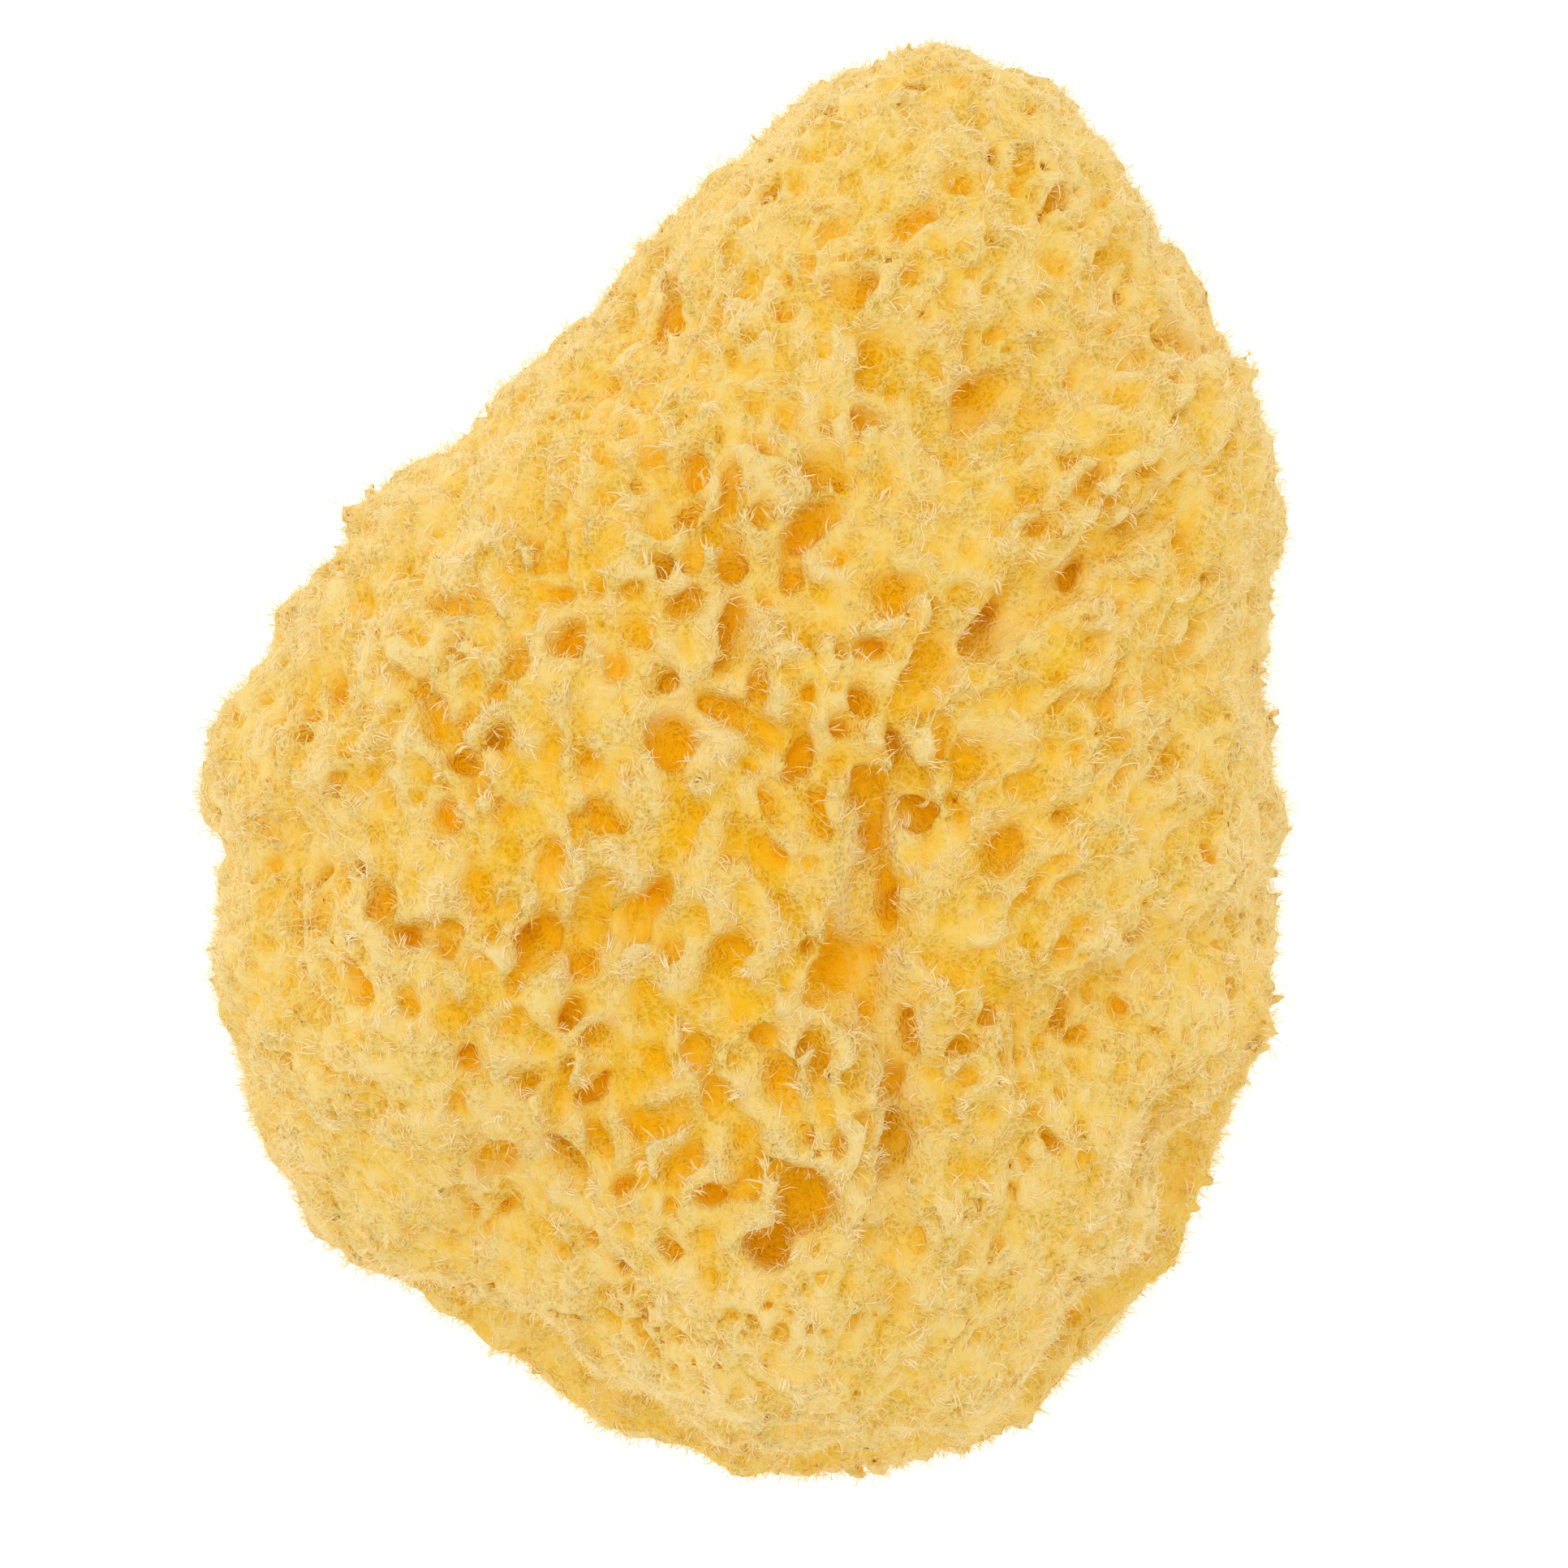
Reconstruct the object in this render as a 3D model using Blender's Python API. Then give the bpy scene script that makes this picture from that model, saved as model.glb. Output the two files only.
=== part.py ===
"""Natural sea sponge, trimmed flat underneath and lying on the cut, as picked and dried.

Units are metres, +Z is up. The origin is on the cut face, under the middle of the
sponge's box. +Y runs the long way, towards the narrow end.
The body is one grown piece: a lumpy dome whose skin is given as a distance from a
middle point in every direction. Furrows and a lower ledge are part of that distance,
and the pores are round and stretched pits cut into it.
"""

import math
import random

import bmesh
import bpy
from mathutils import Matrix, Vector, noise

MM = 0.001

# Driving dimensions
# The plan outline, as distances from the middle point every 10 degrees from +X.
OUTLINE = [
    37.5, 37.0, 39.0, 43.0, 45.5, 47.0, 50.5, 52.5, 50.0, 44.0, 37.5, 34.0,
    32.5, 30.5, 31.5, 32.0, 33.5, 35.0, 38.0, 37.5, 40.0, 41.0, 43.0, 43.0,
    44.5, 46.5, 49.0, 50.5, 51.5, 50.5, 49.0, 47.5, 43.5, 42.0, 40.0, 38.0,
]
MIDDLE = Vector((0.085, -0.273, 19.0)) * MM
RISE = 28.0 * MM
DROP = 24.5 * MM
ROUNDNESS = 2.3

# The low end has a soft lip over a ledge that stands further out.
LIP_TOWARDS = math.radians(-72)
LIP_HALF_WIDTH = math.radians(62)
LIP_FADE = (0.55, 1.0)
LIP_INSET = 4.2 * MM
LIP_GROOVE = 1.6 * MM
GROOVE_RISE = 0.04
GROOVE_SPREAD = 0.1
LEDGE_RISE = (0.01, 0.13)
LEDGE_NOTCH = math.radians(-70)
LEDGE_NOTCH_SPREAD = math.radians(6)
LEDGE_NOTCH_SHARE = 0.8

# How far down from the top the lumps and furrows reach, as shares of the rise.
TOP_FADE = (-0.1, 0.35)

# Broad lumps and hollows on the top: x, y, spread and height in millimetres.
LUMPS = [
    (-2.0, 3.0, 15.0, 1.6),
    (1.0, -37.0, 6.5, 3.4),
    (-23.0, -22.0, 7.0, 1.8),
    (33.0, -18.0, 6.0, 2.0),
    (31.0, 17.0, 7.5, 1.6),
    (13.0, 41.0, 8.0, 1.4),
    (-26.0, 14.0, 7.0, 1.4),
    (18.0, -28.0, 7.0, 1.6),
    (2.0, 15.5, 4.2, -1.6),
    (-5.0, 4.0, 3.6, -1.3),
    (17.0, 26.5, 4.2, -1.6),
    (17.5, 10.5, 3.6, -1.6),
    (-10.5, -17.0, 3.6, -1.2),
    (-16.5, -26.5, 3.6, -1.4),
    (4.0, -3.0, 3.0, -1.2),
    (-10.0, -8.0, 3.0, -1.0),
]

# Furrows on the top: width and depth, then the points they run through.
FURROWS = [
    (1.8, 2.6, [(9, -3), (8.5, -10), (11, -23), (10, -35)]),
    (2.4, 2.4, [(19, -19), (27, -14), (36, -9)]),
    (2.6, 1.5, [(-18, -30), (-10, -33), (-7, -38)]),
    (1.5, 1.8, [(13, 24), (21, 27), (32, 29.5)]),
    (1.4, 1.8, [(16.5, 9), (24, 14), (30, 19)]),
    (2.6, 1.4, [(-13.5, 29), (-20, 17.5), (-29.5, 4)]),
]

# Grown unevenness: broad swells, and knobs that come to a blunt point.
SWELL_SIZE = 13.0 * MM
SWELL = 1.1 * MM
KNOB_SIZE = 6.2 * MM
KNOB = 2.6 * MM
KNOB_LEVEL = 0.42

# The main pores: x, y, radius, stretch, heading of the stretch in degrees, depth.
PORES = [
    (3.0, -32.4, 2.7, 1.3, 80, 6.0),
    (-2.2, -30.4, 1.0, 1.5, 0, 4.5),
    (-11.9, -16.0, 1.3, 1.0, 0, 5.0),
    (-9.4, -18.9, 1.1, 1.4, 0, 2.5),
    (-2.5, -19.0, 1.4, 1.1, 90, 4.0),
    (1.8, -21.6, 1.1, 1.3, -60, 3.5),
    (-9.8, -7.8, 1.4, 1.2, 95, 4.5),
    (-9.6, -2.5, 1.2, 1.3, 80, 3.5),
    (-5.0, 2.6, 1.9, 1.1, 0, 4.5),
    (-2.6, 5.0, 1.1, 1.2, 45, 3.0),
    (3.0, 2.4, 1.0, 2.0, 85, 4.5),
    (-6.1, 6.6, 1.1, 1.0, 0, 3.0),
    (-0.6, 10.3, 1.2, 1.6, 80, 3.5),
    (4.5, 17.3, 1.2, 2.0, 35, 3.5),
    (-0.6, 14.8, 1.0, 1.2, 0, 3.5),
    (1.0, 18.8, 1.2, 1.0, 0, 2.5),
    (-1.6, 21.3, 0.9, 1.0, 0, 2.5),
    (5.0, 21.6, 1.0, 1.0, 0, 3.0),
    (8.6, 25.3, 1.1, 1.0, 0, 3.0),
    (9.2, 29.4, 1.3, 1.1, 0, 3.5),
    (8.0, 34.3, 1.2, 1.2, 90, 3.0),
    (3.4, 25.2, 1.0, 1.0, 0, 2.0),
    (16.2, 25.9, 1.5, 1.7, 50, 4.5),
    (20.9, 26.0, 1.3, 1.3, 45, 4.0),
    (25.3, 27.0, 1.3, 2.0, 30, 3.5),
    (16.7, 9.6, 1.1, 2.3, 55, 5.0),
    (22.0, 12.7, 1.1, 2.6, 40, 4.0),
    (26.8, 16.6, 1.0, 2.0, 40, 2.5),
    (24.3, 8.6, 1.1, 1.4, 20, 2.5),
    (20.7, 17.2, 1.2, 1.0, 0, 2.5),
    (9.5, 12.0, 1.3, 1.5, 5, 2.5),
    (9.0, 6.1, 1.0, 1.0, 0, 2.5),
    (11.2, 2.0, 0.9, 2.4, -75, 4.5),
    (16.8, 1.2, 1.2, 1.5, 50, 3.0),
    (20.4, -0.8, 1.1, 1.3, 40, 3.0),
    (18.6, -5.2, 1.3, 1.7, 30, 3.0),
    (11.4, -3.4, 1.2, 1.1, 0, 2.5),
    (9.1, -7.4, 0.9, 2.0, 80, 5.0),
    (2.4, -5.5, 1.0, 1.7, -65, 3.5),
    (3.6, -10.4, 1.1, 2.3, -60, 3.0),
    (8.0, -13.2, 1.6, 1.2, 0, 3.0),
    (14.6, -13.0, 1.4, 1.5, -20, 2.5),
    (10.9, -18.0, 1.0, 1.8, -75, 3.0),
    (15.8, -18.8, 1.1, 1.0, 0, 2.5),
    (10.4, -24.8, 1.1, 1.6, -80, 3.0),
    (15.4, -28.1, 1.2, 1.0, 0, 2.0),
    (-0.5, -0.5, 1.3, 1.3, 60, 2.5),
    (-5.9, -5.0, 1.3, 1.2, 10, 2.5),
    (-14.4, -6.4, 1.4, 1.1, 40, 2.5),
    (-14.5, -11.5, 1.0, 2.4, 75, 4.0),
    (-13.9, -1.2, 1.2, 1.0, 0, 2.0),
    (-10.9, 4.4, 1.1, 1.2, 80, 2.5),
    (-15.9, 8.4, 1.0, 1.8, 75, 2.5),
    (-11.8, 9.9, 1.1, 1.0, 0, 3.0),
    (-4.3, 11.9, 1.1, 1.7, 35, 2.0),
    (-4.4, 18.1, 1.1, 1.0, 0, 2.5),
    (-9.6, 17.6, 1.0, 1.0, 0, 2.0),
    (-23.2, -8.2, 1.2, 1.2, 0, 2.5),
    (-24.0, -11.4, 1.0, 1.0, 0, 2.0),
    (-20.9, -3.4, 1.2, 1.1, 0, 2.5),
    (-23.6, -15.3, 1.0, 1.0, 0, 3.0),
    (-19.1, -19.9, 1.0, 1.4, 85, 3.0),
    (-16.9, -27.8, 1.5, 1.1, -60, 2.5),
    (-12.9, -27.2, 1.4, 1.4, -60, 2.5),
    (15.3, 41.0, 1.2, 1.5, 50, 2.5),
    (11.8, 38.6, 1.1, 1.6, 40, 2.5),
    (21.6, 35.9, 1.2, 1.8, 30, 1.8),
    (31.4, 29.0, 1.5, 1.6, -70, 2.0),
]

# Pores over the flanks and the hidden sides, and channels that the cut has opened.
FLANK_PORES = 48
FLANK_RADIUS = (1.2, 1.9)
FLANK_STRETCH = 1.25
FLANK_GAP = 3.6 * MM
FLANK_RANGE = (-0.5, 0.8)
FLANK_DEPTH = (1.4, 2.4)
FLANK_CLEAR = 2.5
CUT_CHANNELS = 8
CUT_RADIUS = (1.0, 2.3)
CUT_GAP = 4.0 * MM
CUT_REACH = 0.55
CUT_DEPTH = 2.2
TRIES = 6
GOLDEN_ANGLE = math.pi * (3 - math.sqrt(5))
MOUNT_CLEAR = 5.0 * MM
SEED = 11

SKIN_SUBDIVISIONS = 5
SEARCH_STEPS = 24
SHARP_ANGLE = math.radians(50)
WIDE_PORE = 1.55 * MM
WIDE_FACETS = (8, 5)
SMALL_FACETS = (6, 3)
RING_SHARE = math.cos(math.pi / 6)
COLOUR = (0.86, 0.60, 0.22, 1.0)
ROUGHNESS_OF_FIBRE = 0.9


def smoothstep(low, high, value):
    """0 below low, 1 above high, and an easy curve between."""
    t = min(max((value - low) / (high - low), 0.0), 1.0)
    return t * t * (3 - 2 * t)


def outline_radius(azimuth):
    """The plan outline's distance from the middle, on a curve through its points."""
    count = len(OUTLINE)
    place = (azimuth / (2 * math.pi) % 1.0) * count
    step = int(place)
    t = place - step
    a, b, c, d = (OUTLINE[(step + k) % count] for k in (-1, 0, 1, 2))
    curve = b + 0.5 * t * (c - a + t * (2 * a - 5 * b + 4 * c - d + t * (3 * (b - c) + d - a)))
    return curve * MM


def lip_share(azimuth):
    """1 along the lip, less where the ledge under it meets it, 0 where the lip has run out."""
    turn = (azimuth - LIP_TOWARDS + math.pi) % (2 * math.pi) - math.pi
    share = 1.0 - smoothstep(*LIP_FADE, abs(turn) / LIP_HALF_WIDTH)
    notch = math.exp(-(((azimuth - LEDGE_NOTCH) / LEDGE_NOTCH_SPREAD) ** 2))
    return share * (1.0 - LEDGE_NOTCH_SHARE * notch)


def distance_to_path(x, y, path):
    """Distance in plan from a point to a line of straight steps."""
    best = math.inf
    for (ax, ay), (bx, by) in zip(path, path[1:]):
        along = (bx - ax, by - ay)
        t = ((x - ax) * along[0] + (y - ay) * along[1]) / (along[0] ** 2 + along[1] ** 2)
        t = min(max(t, 0.0), 1.0)
        best = min(best, math.hypot(x - ax - t * along[0], y - ay - t * along[1]))
    return best


def relief(point):
    """How far lumps, furrows and uneven growth move the skin outwards at a point."""
    x, y = point.x / MM, point.y / MM
    top = smoothstep(*TOP_FADE, point.z / RISE)
    height = 0.0
    for cx, cy, spread, rise in LUMPS:
        height += rise * math.exp(-((x - cx) ** 2 + (y - cy) ** 2) / (2 * spread**2))
    for width, depth, path in FURROWS:
        height -= depth * math.exp(-((distance_to_path(x, y, path) / width) ** 2))
    to_knob = noise.voronoi(point / KNOB_SIZE)[0][0]
    grown = SWELL * noise.noise(point / SWELL_SIZE) + KNOB * (KNOB_LEVEL - to_knob)
    return top * height * MM + grown


def skin_point(direction):
    """The point of the skin that lies in a direction from the middle point."""
    azimuth = math.atan2(direction.y, direction.x)
    flat = math.hypot(direction.x, direction.y)
    lip = lip_share(azimuth)
    above = smoothstep(*LEDGE_RISE, direction.z)
    groove = math.exp(-(((direction.z - GROOVE_RISE) / GROOVE_SPREAD) ** 2))
    plan = outline_radius(azimuth) - lip * (LIP_INSET * above + LIP_GROOVE * groove)
    half_height = RISE if direction.z > 0 else DROP
    reach = (flat / plan) ** ROUNDNESS + (abs(direction.z) / half_height) ** ROUNDNESS
    point = direction * reach ** (-1 / ROUNDNESS)
    return point + direction * relief(point)


def skin_above(x, y):
    """The upper point of the skin over a place in plan."""
    azimuth = math.atan2(y, x)
    low, high = 0.0, math.pi / 2
    for _ in range(SEARCH_STEPS):
        tilt = (low + high) / 2
        flat = math.cos(tilt)
        point = skin_point(
            Vector((flat * math.cos(azimuth), flat * math.sin(azimuth), math.sin(tilt)))
        )
        if math.hypot(point.x, point.y) > math.hypot(x, y):
            low = tilt
        else:
            high = tilt
    return point


def main_pores():
    """The pores that the table places: centre, radius, stretch, heading and depth."""
    return [
        (skin_above(x * MM, y * MM), radius * MM, stretch, math.radians(heading), depth * MM)
        for x, y, radius, stretch, heading, depth in PORES
    ]


def flank_pores(taken):
    """Pores spread evenly over the sides, where none that is taken lies."""
    dice = random.Random(SEED)
    found = []
    tries = TRIES * FLANK_PORES
    for step in dice.sample(range(tries), tries):
        rise = FLANK_RANGE[0] + (FLANK_RANGE[1] - FLANK_RANGE[0]) * (step + 0.5) / tries
        azimuth = GOLDEN_ANGLE * step
        flat = math.sqrt(1 - rise * rise)
        centre = skin_point(Vector((flat * math.cos(azimuth), flat * math.sin(azimuth), rise)))
        radius = dice.uniform(*FLANK_RADIUS) * MM
        depth = dice.uniform(*FLANK_DEPTH) * radius
        heading = dice.uniform(0, math.pi)
        low = centre.z < -MIDDLE.z + FLANK_CLEAR * radius
        crowded = any(
            (centre - other).length < radius + size * stretch + FLANK_GAP
            for other, size, stretch, _, _ in taken + found
        )
        if not low and not crowded and len(found) < FLANK_PORES:
            found.append((centre, radius, FLANK_STRETCH, heading, depth))
    return found


def cut_channels():
    """Channels that open in the flat cut, kept clear of its middle."""
    dice = random.Random(SEED + 1)
    found = []
    tries = TRIES * CUT_CHANNELS
    for step in range(tries):
        azimuth = GOLDEN_ANGLE * step
        share = CUT_REACH * math.sqrt((step + 0.5) / tries)
        away = outline_radius(azimuth) * share
        centre = Vector((away * math.cos(azimuth), away * math.sin(azimuth), -MIDDLE.z))
        radius = dice.uniform(*CUT_RADIUS) * MM
        crowded = any(
            (centre - other).length < radius + size + CUT_GAP for other, size, _, _, _ in found
        )
        if away > MOUNT_CLEAR + radius and not crowded and len(found) < CUT_CHANNELS:
            found.append((centre, radius, 1.0, 0.0, CUT_DEPTH * radius))
    return found


def new_object(name, mesh):
    """A mesh placed over the origin, in the scene."""
    made = bpy.data.objects.new(name, mesh)
    made.location = MIDDLE
    bpy.context.scene.collection.objects.link(made)
    return made


def sponge_body():
    """The closed skin, cut flat below."""
    shape = bmesh.new()
    bmesh.ops.create_icosphere(shape, subdivisions=SKIN_SUBDIVISIONS, radius=1.0)
    for vertex in shape.verts:
        vertex.co = skin_point(vertex.co.normalized())
    everything = shape.verts[:] + shape.edges[:] + shape.faces[:]
    cut = bmesh.ops.bisect_plane(
        shape, geom=everything, plane_co=(0, 0, -MIDDLE.z), plane_no=(0, 0, -1), clear_outer=True
    )
    rim = [item for item in cut["geom_cut"] if isinstance(item, bmesh.types.BMEdge)]
    bmesh.ops.edgeloop_fill(shape, edges=rim)
    bmesh.ops.recalc_face_normals(shape, faces=shape.faces)
    mesh = bpy.data.meshes.new("sponge")
    shape.to_mesh(mesh)
    shape.free()
    mesh.shade_smooth()
    mesh.set_sharp_from_angle(angle=SHARP_ANGLE)
    return new_object("sponge", mesh)


def pore_matrix(centre, radius, stretch, heading, depth, inwards):
    """Places a unit sphere as a pore: round or stretched at the mouth, and deep."""
    along = Vector((math.cos(heading), math.sin(heading), 0.0))
    along = (along - inwards * along.dot(inwards)).normalized()
    across = inwards.cross(along)
    columns = Matrix((along * radius * stretch, across * radius, inwards * depth)).transposed()
    return Matrix.Translation(centre) @ columns.to_4x4()


def pore_cutter(pores):
    """All the pores as one cutter of rounded plugs, each centred on the skin."""
    shape = bmesh.new()
    for centre, radius, stretch, heading, depth in pores:
        inwards = -centre.normalized()
        if centre.z <= -MIDDLE.z:
            inwards = Vector((0, 0, 1))
        place = pore_matrix(centre, radius, stretch, heading, depth, inwards)
        around, down = WIDE_FACETS if radius > WIDE_PORE else SMALL_FACETS
        bmesh.ops.create_uvsphere(
            shape, u_segments=around, v_segments=down, radius=1 / RING_SHARE, matrix=place
        )
    bmesh.ops.recalc_face_normals(shape, faces=shape.faces)
    mesh = bpy.data.meshes.new("pore_cutter")
    shape.to_mesh(mesh)
    shape.free()
    cutter = new_object("pore_cutter", mesh)
    cutter.hide_render = True
    cutter.display_type = "WIRE"
    return cutter


def sponge_material():
    """Dried, bleached sponge fibre: golden, dull and never shiny."""
    made = bpy.data.materials.new("sponge")
    made.use_nodes = True
    surface = made.node_tree.nodes["Principled BSDF"]
    surface.inputs["Base Color"].default_value = COLOUR
    surface.inputs["Roughness"].default_value = ROUGHNESS_OF_FIBRE
    surface.inputs["Metallic"].default_value = 0.0
    return made


def main():
    """Builds the sponge."""
    for old in list(bpy.data.objects):
        bpy.data.objects.remove(old)
    sponge = sponge_body()
    sponge.data.materials.append(sponge_material())
    placed = main_pores()
    pores = placed + flank_pores(placed) + cut_channels()
    carve = sponge.modifiers.new("pores", "BOOLEAN")
    carve.operation = "DIFFERENCE"
    carve.solver = "EXACT"
    carve.object = pore_cutter(pores)


main()
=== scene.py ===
import math

import bpy
import numpy as np
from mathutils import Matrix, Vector, noise


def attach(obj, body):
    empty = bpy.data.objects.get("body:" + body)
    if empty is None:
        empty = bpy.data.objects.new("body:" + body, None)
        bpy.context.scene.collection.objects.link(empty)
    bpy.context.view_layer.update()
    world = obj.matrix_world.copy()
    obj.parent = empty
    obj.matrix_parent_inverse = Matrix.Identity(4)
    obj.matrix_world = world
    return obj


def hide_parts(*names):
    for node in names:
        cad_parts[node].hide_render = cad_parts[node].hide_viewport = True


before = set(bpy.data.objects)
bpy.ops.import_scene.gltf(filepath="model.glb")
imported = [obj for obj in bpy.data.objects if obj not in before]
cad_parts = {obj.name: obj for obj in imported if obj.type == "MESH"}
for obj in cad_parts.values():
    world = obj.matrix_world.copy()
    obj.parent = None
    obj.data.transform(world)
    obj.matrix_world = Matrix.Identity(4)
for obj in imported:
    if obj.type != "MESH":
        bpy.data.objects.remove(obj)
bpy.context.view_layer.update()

MM = 0.001

# The skin, as in the CAD: distances from a middle point, in millimetres
OUTLINE = np.array([
    37.5, 37.0, 39.0, 43.0, 45.5, 47.0, 50.5, 52.5, 50.0, 44.0, 37.5, 34.0,
    32.5, 30.5, 31.5, 32.0, 33.5, 35.0, 38.0, 37.5, 40.0, 41.0, 43.0, 43.0,
    44.5, 46.5, 49.0, 50.5, 51.5, 50.5, 49.0, 47.5, 43.5, 42.0, 40.0, 38.0,
])
MIDDLE = np.array([0.085, -0.273, 19.0])
RISE = 28.0
DROP = 24.5
ROUNDNESS = 2.3
LIP_TOWARDS = math.radians(-72)
LIP_HALF_WIDTH = math.radians(62)
LIP_INSET = 4.2
LIP_GROOVE = 1.6
LIP_FADE = (0.55, 1.0)
GROOVE_RISE = 0.04
GROOVE_SPREAD = 0.1
LEDGE_RISE = (0.05, 0.1)
LEDGE_NOTCH = math.radians(-70)
LEDGE_NOTCH_SPREAD = math.radians(6)
LEDGE_NOTCH_SHARE = 0.8
TOP_FADE = (-0.1, 0.35)
LUMPS = [
    (-2.0, 3.0, 15.0, 1.6),
    (1.0, -37.0, 6.5, 3.4),
    (-23.0, -22.0, 7.0, 1.8),
    (33.0, -18.0, 6.0, 2.0),
    (31.0, 17.0, 7.5, 1.6),
    (13.0, 41.0, 8.0, 1.4),
    (-26.0, 14.0, 7.0, 1.4),
    (18.0, -28.0, 7.0, 1.6),
    (2.0, 15.5, 4.2, -1.6),
    (-5.0, 4.0, 3.6, -1.3),
    (17.0, 26.5, 4.2, -1.6),
    (17.5, 10.5, 3.6, -1.6),
    (-10.5, -17.0, 3.6, -1.2),
    (-16.5, -26.5, 3.6, -1.4),
    (4.0, -3.0, 3.0, -1.2),
    (-10.0, -8.0, 3.0, -1.0),
]
FURROWS = [
    (1.8, 2.6, [(9, -3), (8.5, -10), (11, -23), (10, -35)]),
    (2.4, 2.4, [(19, -19), (27, -14), (36, -9)]),
    (2.6, 1.5, [(-18, -30), (-10, -33), (-7, -38)]),
    (1.5, 1.8, [(13, 24), (21, 27), (32, 29.5)]),
    (1.4, 1.8, [(16.5, 9), (24, 14), (30, 19)]),
    (2.6, 1.4, [(-13.5, 29), (-20, 17.5), (-29.5, 4)]),
]
SWELL_SIZE = 13.0
SWELL = 1.1
KNOB_SIZE = 6.2
KNOB = 2.6
KNOB_LEVEL = 0.42

# The share of a knob's height that the flanks keep, where points and fibres make the outline
SIDE_KNOB = 0.5

# How far the felted wall tops lie under the CAD's skin, which the points reach
SKIN_INSET = 0.6

# The table that the skin is read from, and the step its slope is taken over
TABLE_AZIMUTHS = 480
TABLE_TILTS = 240
NORMAL_STEP = 0.8

# The smooth band under the ledge, and the painted highlight along its fold and painted shade in its
# crease
BAND_FADE = (0.6, 1.0)
BAND_FOOT = (-0.35, -0.1)
BAND_TOP = (LEDGE_RISE[1], 3.2 * LEDGE_RISE[1])
FOLD_RISE = 1.35 * LEDGE_RISE[1]
CREASE_RISE = 0.8 * LEDGE_RISE[0]
PAINTED_LINE_SPREAD = 0.03
CREASE_PAINTED_SHADE = 0.9
FOLD_PAINTED_HIGHLIGHT = 0.6

# Where pores open to: headings in plan, and the places at the left and right that turn them
UP_HEADING = 86
LEFT_TURN = 22
RIGHT_TURN = 48
LEFT_X = (8, 30)
RIGHT_X = (0, 22)
RIGHT_Y = (-22, 2)
GROOVED_X = (4, 22)
GROOVED_Y = (-20, 2)
LEAST_SLOPE = 0.15

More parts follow.
